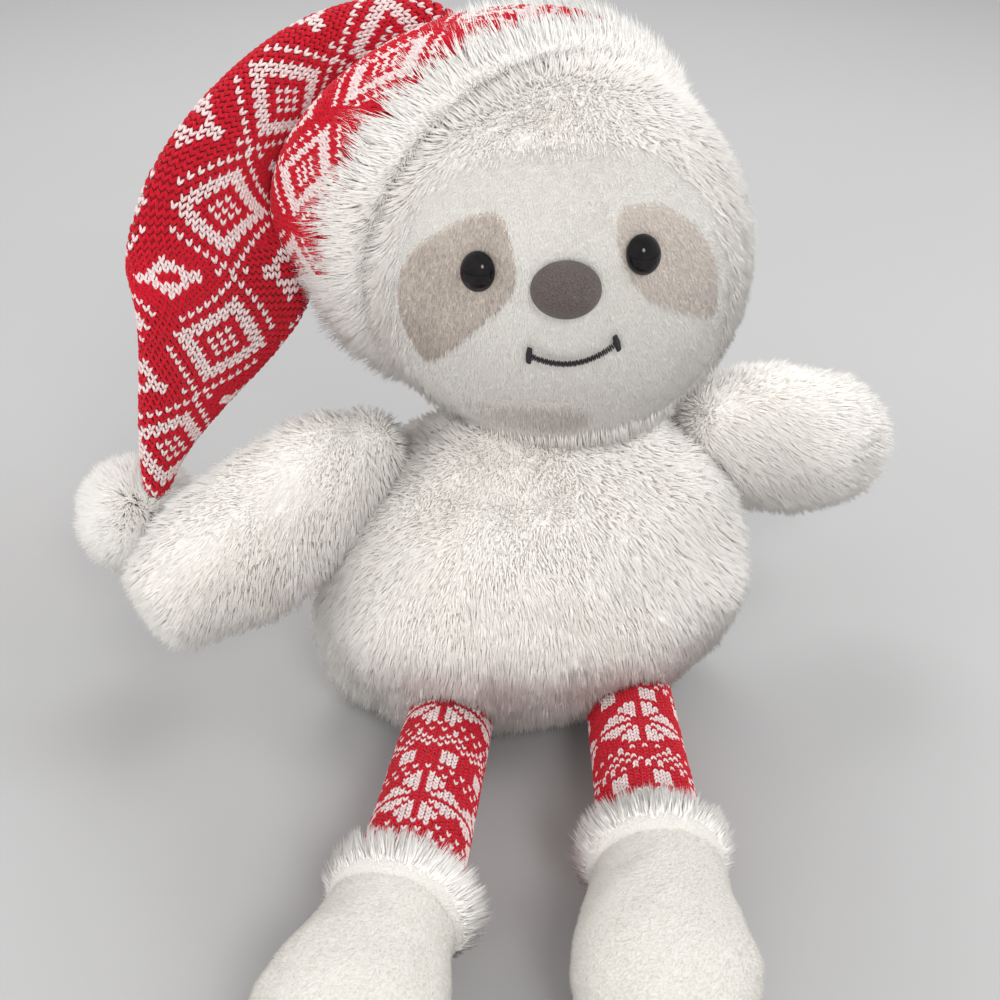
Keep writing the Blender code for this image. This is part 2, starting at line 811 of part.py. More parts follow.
# Hat brim and crown
head_room = head_body("head_room", -piece_gap, cutter=True)
brim_centre = head_centre + hat_axis * brim_offset
hat_brim = loop_body(
    "hat_brim",
    brim_centre,
    hat_axis,
    brim_radius,
    brim_half_width,
    brim_half_depth,
    brim_sides,
    brim_section_sides,
    origin=neck,
)
cut(hat_brim, head_room)
dress(hat_brim, white_pile)
brim_room = loop_body(
    "brim_room",
    brim_centre,
    hat_axis,
    brim_radius,
    brim_half_width + piece_gap,
    brim_half_depth + piece_gap,
    brim_sides,
    brim_section_sides,
    cutter=True,
)


def crown_body(name, inset, cutter=False, origin=None):
    """Dome over the back of the head, its rings turning from the brim's axis towards the fold."""
    centre = head_centre + crown_shift
    to_fold = (fold - centre).normalized()
    radius = crown_radius - inset
    rings = []
    for turned, travel in crown_ring_shares:
        forward = hat_axis.lerp(to_fold, turned).normalized()
        side, up = cross_axes(forward)
        if cutter and not rings:
            travel = travel - brim_half_width / crown_radius
        reach = radius * math.sqrt(1 - travel * travel)
        rings.append((centre + forward * (travel * crown_radius), side * reach, up * reach))
    start = rings[0][0] - hat_axis * (brim_half_width * crown_top_share)
    last = fold - to_fold * inset
    return ring_body(name, rings, crown_sides, (start, last), levels=1, origin=origin, cutter=cutter)


crown_inner = crown_body("crown_inner", knit_wall, cutter=True)
fold_room = ball("fold_room", fold, room_for(fold_radius, fold_gap, root_sides, root_rows))
hat_crown = crown_body("hat_crown", 0.0, origin=neck)
cut(hat_crown, crown_inner, head_room, brim_room, fold_room)
dress(hat_crown, red_knit)


# Hat tail and pompom
def hat_tail_body():
    centres = [fold]
    for sideways, back, down, _, _ in tail_ring_shares:
        centres.append(fold + Vector((sideways, back, down)) * tail_length)
    centres.append(tail_tip)
    sizes = [(fold_radius, fold_radius)]
    for _, _, _, width_share, thick_share in tail_ring_shares:
        sizes.append((width_share * tail_half_width, thick_share * tail_half_thickness))
    sizes.append((tip_radius, tip_radius))
    rings = []
    for k, (half_width, half_thickness) in enumerate(sizes):
        forward = (centres[min(k + 1, len(centres) - 1)] - centres[max(k - 1, 0)]).normalized()
        thick = (hat_axis - forward * hat_axis.dot(forward)).normalized()
        wide = forward.cross(thick).normalized()
        rings.append((centres[k], wide * half_width, thick * half_thickness))
    start = fold - (centres[1] - fold).normalized() * fold_radius
    finish = tail_tip + (tail_tip - centres[-2]).normalized() * tip_radius
    return ring_body("hat_tail", rings, tail_sides, (start, finish), levels=1, origin=fold)


hat_tail = hat_tail_body()
dress(hat_tail, red_knit)
hat_pompom = ball("hat_pompom", pompom_centre, pompom_radius, cutter=False, origin=tail_tip)
tip_path = fold + Vector(tail_ring_shares[-2][:3]) * tail_length
tip_capsule = [(tail_tip, tip_room_radius), (tip_path, tail_half_width * tail_ring_shares[-2][3])]
backward = Vector((0, 1, 0))
tip_room = swept_hull("tip_room", tip_capsule, tail_tip, backward, swing_steps(pompom_swing), joint_gap)
cut(hat_pompom, tip_room)
dress(hat_pompom, white_pile)


# Arms
def arm(side, pivot, direction, length):
    def sleeve(name, inset, cutter=False, levels=1):
        sizes = (arm_ring_shares, length, arm_half_width, arm_half_depth, inset)
        rings, ends = limb_rings(pivot, direction, *sizes)
        if cutter:
            across, up = cross_axes(direction)
            mouth = [pivot - direction * (arm_root_radius * reach) for reach in arm_mouth_shares]
            rings = [(spot, across * arm_mouth_radius, up * arm_mouth_radius) for spot in mouth] + rings
            ends = (mouth[0] - direction * arm_mouth_radius, ends[1])
        origin = None if cutter else pivot
        return ring_body(name, rings, arm_sides, ends, levels=levels, origin=origin, cutter=cutter)

    cover = sleeve(f"arm_{side}_cover", 0.0)
    join(cover, ball(f"arm_{side}_ball", pivot, arm_root_radius))
    cut(cover, sleeve(f"arm_{side}_inner", long_pile_wall + small_cage_step, cutter=True, levels=0))
    dress(cover, white_pile)
    dress(sleeve(f"arm_{side}_filling", small_filling_inset, levels=0), white_filling)


for side, placed in arms.items():
    arm(side, *placed)


# Legs, cuffs and feet
def leg_body(name, pivot, direction, inset, cutter=False, reach=0.0):
    start = pivot - direction * reach
    finish = pivot + direction * (leg_length + reach)
    radii = (leg_root_radius - inset, leg_end_radius - inset)
    return rod(name, start, finish, *radii, leg_sides, origin=None if cutter else pivot, cutter=cutter)


def leg(side, pivot, direction):
    ankle = ankles[side]
    sleeve = leg_body(f"leg_{side}_sleeve", pivot, direction, 0.0)
    join(sleeve, ball(f"leg_{side}_hip", pivot, leg_root_radius))
    join(sleeve, ball(f"leg_{side}_ankle", ankle, leg_end_radius))
    inner = leg_body(f"leg_{side}_inner", pivot, direction, knit_wall, cutter=True, reach=leg_end_radius)
    cut(sleeve, inner)
    dress(sleeve, red_knit)
    filling = leg_body(f"leg_{side}_filling", pivot, direction, knit_wall + piece_gap)
    dress(filling, white_filling)


def foot(side):
    ankle = ankles[side]
    drop = foot_height - ankle.z
    direction = heading(foot_headings[side], drop / (foot_length * toe_share))
    leg_pivot, leg_direction = legs[side]
    shin = [(ankle, leg_end_radius), (ankle - leg_direction * (leg_length * shin_share), leg_root_radius)]
    flex = [-degrees for degrees in swing_steps(ankle_flex, 3)]
    ankle_room = swept_hull(f"ankle_{side}_room", shin, ankle, level, flex, joint_gap)
    rings, ends = limb_rings(ankle, direction, foot_ring_shares, foot_length, foot_half_width, foot_half_height, 0)
    cover = ring_body(f"foot_{side}_cover", rings, foot_sides, ends, levels=1, origin=ankle)
    wall = short_pile_wall + small_cage_step
    inner_rings, inner_ends = limb_rings(
        ankle, direction, foot_ring_shares, foot_length, foot_half_width, foot_half_height, wall
    )
    inner = ring_body(f"foot_{side}_inner", inner_rings, foot_sides, inner_ends, cutter=True)
    cut(cover, inner, ankle_room, floor_box)
    dress(cover, short_pile)
    filling_rings, filling_ends = limb_rings(
        ankle, direction, foot_ring_shares, foot_length, foot_half_width, foot_half_height, wall + filling_gap
    )
    filling = ring_body(f"foot_{side}_filling", filling_rings, foot_sides, filling_ends, origin=ankle)
    cut(filling, ankle_room)
    dress(filling, white_filling)
    cuff = loop_body(
        f"foot_{side}_cuff",
        ankle + direction * (cuff_half_width * cuff_forward_share),
        direction,
        cuff_radius,
        cuff_half_width,
        cuff_half_depth,
        cuff_sides,
        cuff_section_sides,
        origin=ankle,
    )
    grown_rings, grown_ends = limb_rings(
        ankle, direction, foot_ring_shares, foot_length, foot_half_width, foot_half_height, -piece_gap
    )
    grown = ring_body(f"foot_{side}_grown", grown_rings, foot_sides, grown_ends, levels=1, cutter=True)
    cut(cuff, grown, ankle_room, floor_box)
    dress(cuff, white_pile)


for side, (pivot, direction) in legs.items():
    leg(side, pivot, direction)
    foot(side)
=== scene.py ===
import math

import bmesh
import bpy
from mathutils import Matrix, Vector, noise
from mathutils.bvhtree import BVHTree


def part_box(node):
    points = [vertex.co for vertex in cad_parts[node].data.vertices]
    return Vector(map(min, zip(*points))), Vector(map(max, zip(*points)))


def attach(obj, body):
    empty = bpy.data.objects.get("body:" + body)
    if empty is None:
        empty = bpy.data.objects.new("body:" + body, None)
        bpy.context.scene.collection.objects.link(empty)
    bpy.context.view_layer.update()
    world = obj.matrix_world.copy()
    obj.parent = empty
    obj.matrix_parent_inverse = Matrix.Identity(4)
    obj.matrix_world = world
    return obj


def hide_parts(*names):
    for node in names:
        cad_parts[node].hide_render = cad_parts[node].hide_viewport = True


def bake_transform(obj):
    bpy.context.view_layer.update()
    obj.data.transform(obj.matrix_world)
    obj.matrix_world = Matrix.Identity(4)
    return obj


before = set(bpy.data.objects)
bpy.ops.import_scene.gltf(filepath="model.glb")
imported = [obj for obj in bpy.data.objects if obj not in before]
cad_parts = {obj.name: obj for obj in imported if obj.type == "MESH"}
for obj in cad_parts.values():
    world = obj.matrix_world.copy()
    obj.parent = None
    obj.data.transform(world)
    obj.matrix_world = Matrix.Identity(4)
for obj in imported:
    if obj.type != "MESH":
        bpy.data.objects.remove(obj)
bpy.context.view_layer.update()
mm = 0.001
upward = Vector((0, 0, 1))
print("frame loaded")

# the view the toy was photographed from
viewFacts = {
    "place": (-0.1047, -0.5156, 0.426),
    "look": (0.147, 0.835, -0.530),
    "lens": 54.1,
    "sensor": 36.0,
    "nearest": 0.02,
    "bounces": 16,  # white pile passes light on many times
}


def standAt(name, data, place, look):
    stand = bpy.data.objects.new(name, data)
    stand.location = place
    stand.rotation_euler = Vector(look).to_track_quat("-Z", "Y").to_euler()
    bpy.context.scene.collection.objects.link(stand)
    return stand


camera = bpy.data.cameras.new("photoView")
camera.lens = viewFacts["lens"]
camera.sensor_width = viewFacts["sensor"]
camera.clip_start = viewFacts["nearest"]
bpy.context.scene.camera = standAt("photoView", camera, viewFacts["place"], viewFacts["look"])
bpy.context.scene.view_settings.view_transform = "Standard"
bpy.context.scene.cycles.diffuse_bounces = viewFacts["bounces"]


# node helpers
def addNode(tree, kind, **settings):
    made = tree.nodes.new(kind)
    for name, value in settings.items():
        setattr(made, name, value)
    return made


def feed(tree, socket, value):
    if isinstance(value, bpy.types.NodeSocket):
        tree.links.new(value, socket)
    else:
        socket.default_value = value


def maths(tree, operation, *values):
    made = addNode(tree, "ShaderNodeMath", operation=operation)
    for socket, value in zip(made.inputs, values):
        feed(tree, socket, value)
    return made.outputs[0]


def arrows(tree, operation, *values):
    made = addNode(tree, "ShaderNodeVectorMath", operation=operation)
    sockets = [made.inputs[0], made.inputs[3]] if operation == "SCALE" else made.inputs
    for socket, value in zip(sockets, values):
        feed(tree, socket, value)
    return made.outputs[0]


def newMaterial(name, roughness, sheen=0.0):
    made = bpy.data.materials.new(name)
    made.use_nodes = True
    shader = made.node_tree.nodes["Principled BSDF"]
    shader.inputs["Roughness"].default_value = roughness
    shader.inputs["Sheen Weight"].default_value = sheen
    return made, made.node_tree, shader


def blendColours(tree, factor, first, second):
    made = addNode(tree, "ShaderNodeMix", data_type="RGBA")
    feed(tree, made.inputs[0], factor)
    feed(tree, made.inputs[6], (*first, 1.0) if isinstance(first, tuple) else first)
    feed(tree, made.inputs[7], (*second, 1.0) if isinstance(second, tuple) else second)
    return made.outputs[2]


def objectNoise(tree, scale, detail=3.0):
    made = tree.nodes.new("ShaderNodeTexNoise")
    made.inputs["Scale"].default_value = scale
    made.inputs["Detail"].default_value = detail
    feed(tree, made.inputs["Vector"], tree.nodes.new("ShaderNodeTexCoord").outputs["Object"])
    return made.outputs[0]


def ramp(tree, value, low, high):
    made = tree.nodes.new("ShaderNodeMapRange")
    for socket, given in zip(made.inputs, (value, low, high)):
        feed(tree, socket, given)
    return made.outputs[0]


def named(tree, name, output="Fac"):
    return addNode(tree, "ShaderNodeAttribute", attribute_name=name).outputs[output]


def bumpFrom(tree, shader, height, depth, strength=1.0):
    made = tree.nodes.new("ShaderNodeBump")
    made.inputs["Distance"].default_value = depth
    made.inputs["Strength"].default_value = strength
    feed(tree, made.inputs["Height"], height)
    feed(tree, shader.inputs["Normal"], made.outputs[0])


# two tones of one stuff, mixed by fine noise that can also raise the surface
def mottledFinish(name, roughness, low, high, grain, detail=3.0, bump=0.0, bumpGrain=None, sheen=0.0):
    made, tree, shader = newMaterial(name, roughness, sheen)
    feed(tree, shader.inputs["Base Color"], blendColours(tree, objectNoise(tree, grain, detail), low, high))
    if bump:
        bumpFrom(tree, shader, objectNoise(tree, bumpGrain or grain, detail), bump)
    return made


# plush pile: colour at the root, at the tip and where it is stained, then how dull and bright strands get
pileTones = {
    "whitePile": ((0.925, 0.89, 0.84), (0.965, 0.94, 0.905), (0.94, 0.90, 0.845), 0.94, 1.03),
    "shortWhitePile": ((0.78, 0.76, 0.725), (0.82, 0.805, 0.78), (0.79, 0.77, 0.735), 0.96, 1.02),
    "footPile": ((0.66, 0.63, 0.58), (0.69, 0.665, 0.615), (0.665, 0.635, 0.585), 0.98, 1.01),
    "fluffPile": ((0.89, 0.86, 0.815), (0.955, 0.935, 0.905), (0.92, 0.885, 0.84), 0.92, 1.05),
    "taupePile": ((0.30, 0.25, 0.215), (0.76, 0.68, 0.61), (0.40, 0.335, 0.29), 0.60, 1.18),
    "paleTaupePile": ((0.52, 0.46, 0.41), (0.82, 0.755, 0.70), (0.60, 0.54, 0.49), 0.84, 1.06),
    "chinPile": ((0.48, 0.43, 0.385), (0.68, 0.63, 0.58), (0.55, 0.50, 0.455), 0.84, 1.05),
}
pileLight = {
    "roughness": 0.85,
    "sheen": 0.12,
    "sheenRoughness": 0.5,
    "specular": 0.25,
    "tipFrom": 0.75,  # height from which a strand has its tip's colour
    "stainScale": 38.0,
    "stain": 0.55,
    "soft": 0.45,  # share of the skin's own slope in how a strand is lit
}


def plushFinish(name, root, tip, stained, dull, bright):
    made, tree, shader = newMaterial(name, pileLight["roughness"], pileLight["sheen"])
    strandTone = blendColours(tree, ramp(tree, named(tree, "height"), 0.0, pileLight["tipFrom"]), root, tip)
    stains = ramp(tree, objectNoise(tree, pileLight["stainScale"]), 0.42, 0.72)
    value = tree.nodes.new("ShaderNodeHueSaturation")
    stainedTone = blendColours(tree, maths(tree, "MULTIPLY", stains, pileLight["stain"]), strandTone, stained)
    feed(tree, value.inputs["Color"], stainedTone)
    feed(tree, value.inputs["Value"], maths(tree, "MULTIPLY_ADD", named(tree, "each"), bright - dull, dull))
    feed(tree, shader.inputs["Base Color"], value.outputs[0])
    skinSlope = addNode(
        tree, "ShaderNodeVectorTransform", vector_type="NORMAL", convert_from="OBJECT", convert_to="WORLD"
    )
    feed(tree, skinSlope.inputs[0], named(tree, "lay", "Vector"))
    strandSlope = tree.nodes.new("ShaderNodeNewGeometry").outputs["Normal"]
    shares = ((strandSlope, 1 - pileLight["soft"]), (skinSlope.outputs[0], pileLight["soft"]))
    shared = arrows(tree, "ADD", *[arrows(tree, "SCALE", slope, share) for slope, share in shares])
    feed(tree, shader.inputs["Normal"], arrows(tree, "NORMALIZE", shared))
    shader.inputs["Sheen Roughness"].default_value = pileLight["sheenRoughness"]
    shader.inputs["Specular IOR Level"].default_value = pileLight["specular"]
    return made


# the dense short underfur that closes the gaps between strands
backingTones = {
    "whiteBacking": ((0.92, 0.90, 0.865), (0.97, 0.958, 0.935)),
    "taupeBacking": ((0.46, 0.40, 0.355), (0.58, 0.52, 0.47)),
    "chinBacking": ((0.66, 0.62, 0.58), (0.72, 0.68, 0.64)),
    "shortBacking": ((0.70, 0.68, 0.64), (0.74, 0.72, 0.68)),
}
backingLight = {"roughness": 0.95, "sheen": 0.2, "specular": 0.1, "grain": 900.0, "bump": 0.0012}


def backingFinish(name, low, high):
    made, tree, shader = newMaterial(name, backingLight["roughness"], backingLight["sheen"])
    tone = ramp(tree, objectNoise(tree, backingLight["grain"], 4.0), 0.3, 0.7)
    feed(tree, shader.inputs["Base Color"], blendColours(tree, tone, low, high))
    bumpFrom(tree, shader, objectNoise(tree, backingLight["grain"] * 1.3, 4.0), backingLight["bump"])
    shader.inputs["Specular IOR Level"].default_value = backingLight["specular"]
    return made


finishes = {name: plushFinish(name, *tones) for name, tones in pileTones.items()}
finishes.update({name: backingFinish(name, *tones) for name, tones in backingTones.items()})
finishes["fillingFibre"] = mottledFinish(
    "fillingFibre",
    roughness=0.95,
    low=(0.74, 0.74, 0.73),
    high=(0.93, 0.93, 0.92),
    grain=160.0,
    detail=6.0,
    bump=0.004,
)
print("pile finishes made")


# a smooth curve through values that stand at whole numbers
def between(values, place):
    last = len(values) - 1
    k = min(int(place), last - 1)
    t = place - k
    before = values[k - 1] if k else values[0] * 2 - values[1]
    after = values[k + 2] if k + 2 <= last else values[last] * 2 - values[last - 1]
    here, there = values[k], values[k + 1]
    curve = (there - before) * t + (before * 2 - here * 5 + there * 4 - after) * t**2
    return here + (curve + (here * 3 - before - there * 3 + after) * t**3) / 2


# a ring is a centre and two half axes; more rings are set between the given ones
def smoothRings(rings, steps, rounds=0):
    parts = list(zip(*rings))
    spots = [k * (len(rings) - 1) / steps for k in range(steps + 1)]
    parts = [[between(part, spot) for spot in spots] for part in parts]
    for _ in range(rounds):
        for part in parts:
            part[1:-1] = [(low + here * 2 + high) / 4 for low, here, high in zip(part, part[1:], part[2:])]
    return list(zip(*parts))


# three shrinking rings that round off the end of a loft
def roundedEnd(ring, end):
    centre, across, along = ring
    return [
        (centre.lerp(end, share), across * math.sqrt(1 - share**2), along * math.sqrt(1 - share**2))
        for share in (0.45, 0.75, 0.93)
    ]


# a closed form through rings, with a point at each end
def ringLoft(rings, ends, sides, steps, rounds=0):
    cloth = bmesh.new()
    dense = smoothRings(rings, steps, rounds)
    dense = roundedEnd(dense[0], ends[0])[::-1] + dense + roundedEnd(dense[-1], ends[1])
    loops = []
    for centre, across, along in dense:
        place = Matrix((across, along, across.cross(along).normalized())).transposed().to_4x4()
        place.translation = centre
        circle = bmesh.ops.create_circle(cloth, cap_ends=False, segments=sides, radius=1.0, matrix=place)
        loops.append(list({edge: True for vertex in circle["verts"] for edge in vertex.link_edges}))
    for low, high in zip(loops, loops[1:]):
        bmesh.ops.bridge_loops(cloth, edges=low + high)
    for loop, end in ((loops[0], ends[0]), (loops[-1], ends[1])):
        cap = bmesh.ops.contextual_create(cloth, geom=loop)["faces"]
        bmesh.ops.poke(cloth, faces=cap)["verts"][0].co = end
    bmesh.ops.recalc_face_normals(cloth, faces=cloth.faces)
    return cloth


def spinAround(cloth, outline, sides):
    bmesh.ops.spin(
        cloth, geom=outline, cent=(0, 0, 0), axis=(0, 0, 1), angle=2 * math.pi, steps=sides, use_merge=True
    )
    bmesh.ops.remove_doubles(cloth, verts=cloth.verts, dist=1e-6)


# a padded ring around an axis; its facts are in millimetres
def roundTube(centre, axis, facts, sides, section):
    cloth = bmesh.new()
    place = Matrix.Translation((facts["radius"] * mm, 0, 0)) @ Matrix.Rotation(math.pi / 2, 4, "X")
    place = place @ Matrix.Diagonal((facts["halfDepth"] * mm, facts["halfWidth"] * mm, 1, 1))
    bmesh.ops.create_circle(cloth, cap_ends=False, segments=section, radius=1.0, matrix=place)
    spinAround(cloth, [*cloth.verts, *cloth.edges], sides)
    turn = axis.to_track_quat("Z", "X").to_matrix().to_4x4()
    bmesh.ops.transform(cloth, matrix=Matrix.Translation(centre) @ turn, verts=cloth.verts)
    bmesh.ops.recalc_face_normals(cloth, faces=cloth.faces)
    return cloth


# a shape that isn't in the scene itself but is copied many times
def looseShape(name, cloth):
    mesh = bpy.data.meshes.new(name)
    cloth.to_mesh(mesh)
    cloth.free()
    for face in mesh.polygons:
        face.use_smooth = True
    return bpy.data.objects.new(name, mesh)


def settle(name, cloth):
    piece = looseShape(name, cloth)
    bpy.context.scene.collection.objects.link(piece)
    return piece


# gives a piece its finish, the body it moves with and the CAD nodes it stands for
def dress(piece, body, material, slot, *nodes):
    piece.data.materials.clear()
    piece.data.materials.append(material)
    if body:
        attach(piece, body)
    if nodes:
        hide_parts(*nodes)


# geometry groups
def newGroup(name, sockets):
    tree = bpy.data.node_groups.new(name, "GeometryNodeTree")
    for label, kind in sockets.items():
        tree.interface.new_socket(label, in_out="INPUT", socket_type=f"NodeSocket{kind}")
    tree.interface.new_socket("result", in_out="OUTPUT", socket_type="NodeSocketGeometry")
    return tree, tree.nodes.new("NodeGroupInput").outputs, tree.nodes.new("NodeGroupOutput").inputs


def attribute(tree, name, kind="FLOAT"):
    made = addNode(tree, "GeometryNodeInputNamedAttribute", data_type=kind)
    made.inputs["Name"].default_value = name
    return made.outputs[0]


# copies a shape to each point, with its Z along one arrow and its Y near another
def plant(tree, points, shape, first, second, size):
    turn = addNode(tree, "FunctionNodeAxesToRotation", primary_axis="Z", secondary_axis="Y")
    feed(tree, turn.inputs[0], first)
    feed(tree, turn.inputs[1], second)
    shown = tree.nodes.new("GeometryNodeObjectInfo")
    feed(tree, shown.inputs["Object"], shape)
    planted = tree.nodes.new("GeometryNodeInstanceOnPoints")
    feed(tree, planted.inputs["Points"], points)
    feed(tree, planted.inputs["Instance"], shown.outputs["Geometry"])
    feed(tree, planted.inputs["Rotation"], turn.outputs[0])
    feed(tree, planted.inputs["Scale"], size)
    real = tree.nodes.new("GeometryNodeRealizeInstances")
    feed(tree, real.inputs[0], planted.outputs[0])
    return real.outputs[0]


# runs a group on a piece, keeps the mesh it makes and drops the attributes it has used up
def runGroup(piece, group, values, spent):
    worker = piece.modifiers.new(group.name, "NODES")
    worker.node_group = group
    for socket in group.interface.items_tree:
        if socket.name in values:
            worker[socket.identifier] = values[socket.name]
    bpy.context.view_layer.update()
    shown = piece.evaluated_get(bpy.context.evaluated_depsgraph_get())
    mesh = bpy.data.meshes.new_from_object(shown)
    mesh.name = piece.name
    piece.modifiers.clear()
    piece.data = mesh
    for name in spent:
        layer = mesh.attributes.get(name)
        if layer:
            mesh.attributes.remove(layer)
    print(piece.name, len(mesh.polygons), "faces")


# what a coat of pile is made of, in metres; each coat below changes what it needs
coatFacts = {
    "density": 400000.0,  # strands a square metre
    "length": 0.010,
    "radius": 0.00024,
    "spread": 0.30,  # share by which lengths differ
    "lift": 0.6,  # how far strands stand up
    "mess": 0.5,  # how far they stray from the comb
    "swirlSize": 0.02,  # how broad the swirls in the pile are
    "clumpSize": 0.005,
    "clump": 0.5,  # how far tips gather into tufts
    "droop": 0.25,  # how far tips sag, in lengths
    "seed": 1,
}
strandFacts = {"sunk": 0.0008, "fineMess": 0.6, "fineScale": 900.0, "bend": 1.7, "floor": 0.0003}

# one strand: a closed three-sided spike that knows its own height
strand = bmesh.new()
bmesh.ops.create_cone(strand, cap_ends=True, segments=3, radius1=1.0, radius2=0.0, depth=1.0)
bmesh.ops.translate(strand, verts=strand.verts, vec=(0, 0, 0.5))
bmesh.ops.remove_doubles(strand, verts=strand.verts, dist=1e-4)
heightLayer = strand.verts.layers.float.new("height")
for vertex in strand.verts:
    vertex[heightLayer] = vertex.co.z
bmesh.ops.recalc_face_normals(strand, faces=strand.faces)
pileStrand = looseShape("pileStrand", strand)


def coatTree():
    sockets = {"skin": "Geometry", "strand": "Object", **dict.fromkeys(coatFacts, "Float"), "seed": "Int"}
    tree, given, result = newGroup("pileCoat", sockets)

    def times(arrow, amount):
        return arrows(tree, "SCALE", arrow, amount)

    def plus(first, second):
        return arrows(tree, "ADD", first, second)

    def chance(low, high, seed):
        made = addNode(tree, "FunctionNodeRandomValue", data_type="FLOAT")
        for socket, value in ((2, low), (3, high), (8, seed)):
            feed(tree, made.inputs[socket], value)
        return made.outputs[1]

    def wander(place, scale):
        made = tree.nodes.new("ShaderNodeTexNoise")
        for label, value in (("Vector", place), ("Scale", scale), ("Detail", 1.5)):
            feed(tree, made.inputs[label], value)
        return arrows(tree, "SUBTRACT", made.outputs[1], (0.5, 0.5, 0.5))

    # roots, and what each strand remembers of its own
    scatter = tree.nodes.new("GeometryNodeDistributePointsOnFaces")
    feed(tree, scatter.inputs["Mesh"], given["skin"])
    density = maths(tree, "MULTIPLY", given["density"], attribute(tree, "grow"))
    feed(tree, scatter.inputs["Density"], density)
    feed(tree, scatter.inputs["Seed"], given["seed"])
    normal = scatter.outputs["Normal"]
    place = tree.nodes.new("GeometryNodeInputPosition").outputs[0]
    cells = tree.nodes.new("ShaderNodeTexVoronoi")
    feed(tree, cells.inputs["Vector"], place)
    feed(tree, cells.inputs["Scale"], maths(tree, "DIVIDE", 1.0, given["clumpSize"]))
    lock = cells.outputs["Position"]
    kept = {"root": place, "each": chance(0.0, 1.0, given["seed"]), "lay": normal, "lock": lock}
    points = scatter.outputs["Points"]
    for name, value in kept.items():
        kind = "FLOAT" if name == "each" else "FLOAT_VECTOR"
        made = addNode(tree, "GeometryNodeStoreNamedAttribute", data_type=kind, domain="POINT")
        made.inputs["Name"].default_value = name
        feed(tree, made.inputs["Geometry"], points)
        feed(tree, made.inputs["Value"], value)
        points = made.outputs[0]
    sunk = tree.nodes.new("GeometryNodeSetPosition")  # roots start under the skin
    feed(tree, sunk.inputs["Geometry"], points)
    feed(tree, sunk.inputs["Offset"], times(normal, -strandFacts["sunk"]))

    # which way each strand leans, and how long it is
    swirl = wander(lock, maths(tree, "DIVIDE", 1.0, given["swirlSize"]))
    stray = plus(swirl, times(wander(place, strandFacts["fineScale"]), strandFacts["fineMess"]))
    leaning = plus(times(normal, given["lift"]), attribute(tree, "comb", "FLOAT_VECTOR"))
    leaning = plus(leaning, times(times(stray, given["mess"]), 2.0))
    shortest = maths(tree, "SUBTRACT", 1.0, given["spread"])
    tall = maths(tree, "MULTIPLY", given["length"], chance(shortest, 1.0, 7))
    tall = maths(tree, "MULTIPLY", tall, attribute(tree, "long"))
    size = tree.nodes.new("ShaderNodeCombineXYZ")
    for socket, value in zip(size.inputs, (given["radius"], given["radius"], tall)):
        feed(tree, socket, value)
    pile = plant(tree, sunk.outputs[0], given["strand"], leaning, times(normal, -1.0), size.outputs[0])

    # tips gather to the middle of their tuft and sag, and none goes through the floor
    bent = maths(tree, "POWER", attribute(tree, "height"), strandFacts["bend"])
    gather = [attribute(tree, name, "FLOAT_VECTOR") for name in ("lock", "root")]
    gather = times(arrows(tree, "SUBTRACT", *gather), maths(tree, "MULTIPLY", given["clump"], bent))
    sag = maths(tree, "MULTIPLY", maths(tree, "MULTIPLY", given["droop"], given["length"]), bent)
    split = tree.nodes.new("ShaderNodeSeparateXYZ")
    feed(tree, split.inputs[0], plus(plus(place, gather), times((0, 0, -1), sag)))
    laid = tree.nodes.new("ShaderNodeCombineXYZ")
    lowest = maths(tree, "MAXIMUM", split.outputs[2], strandFacts["floor"])
    for socket, value in zip(laid.inputs, (split.outputs[0], split.outputs[1], lowest)):
        feed(tree, socket, value)
    moved = tree.nodes.new("GeometryNodeSetPosition")
    feed(tree, moved.inputs["Geometry"], pile)
    feed(tree, moved.inputs["Position"], laid.outputs[0])
    feed(tree, result[0], moved.outputs[0])
    return tree


coat = coatTree()


# what a coat reads at each corner of the skin: where it grows, how long, and which way it is combed
def brushSkin(skin, grow=lambda p, n: 1.0, comb=lambda p, n: (0, 0, 0), long=lambda p, n: 1.0):
    corners = skin.data.vertices
    for name, rule in (("grow", grow), ("long", long)):
        layer = skin.data.attributes.new(name, "FLOAT", "POINT")
        layer.data.foreach_set("value", [float(rule(v.co, v.normal)) for v in corners])
    layer = skin.data.attributes.new("comb", "FLOAT_VECTOR", "POINT")
    layer.data.foreach_set("vector", [part for v in corners for part in comb(v.co, v.normal)])


# half is -1 or 1 for the front or back of a skin that is split through the torso's middle
def growPile(name, skin, body, finish, slot, facts, half=0):
    piece = bpy.data.objects.new(name, skin.data.copy())
    if half:
        share = bmesh.new()
        share.from_mesh(piece.data)
        middle = (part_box("body_cover")[0][1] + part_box("body_cover")[1][1]) / 2
        spare = [face for face in share.faces if (face.calc_center_median().y - middle) * half < 0]
        bmesh.ops.delete(share, geom=spare, context="FACES")
        share.to_mesh(piece.data)
        share.free()
    bpy.context.scene.collection.objects.link(piece)
    values = {**coatFacts, "strand": pileStrand, **facts}
    runGroup(piece, coat, values, ("grow", "long", "comb", "lock", "root"))
    dress(piece, body, finishes[finish], slot)


# from 0 to 1 between low and high
def ramped(value, low, high):
    return min(max((value - low) / (high - low), 0.0), 1.0)


def alongSurface(direction, normal):
    return direction - normal * direction.dot(normal)


def crossAxes(axis):
    side = upward.cross(axis).normalized()
    return side, axis.cross(side).normalized()


def surfaceTree(piece):
    mesh = piece.data
    return BVHTree.FromPolygons([v.co for v in mesh.vertices], [p.vertices for p in mesh.polygons])


# whether a place lies at least this deep inside one of the forms
def deepIn(place, forms, depth):
    for form in forms:
        spot, normal, _, away = form.find_nearest(place)
        if spot is not None and (place - spot).dot(normal) < min(-depth, -0.5 * away):
            return True
    return False


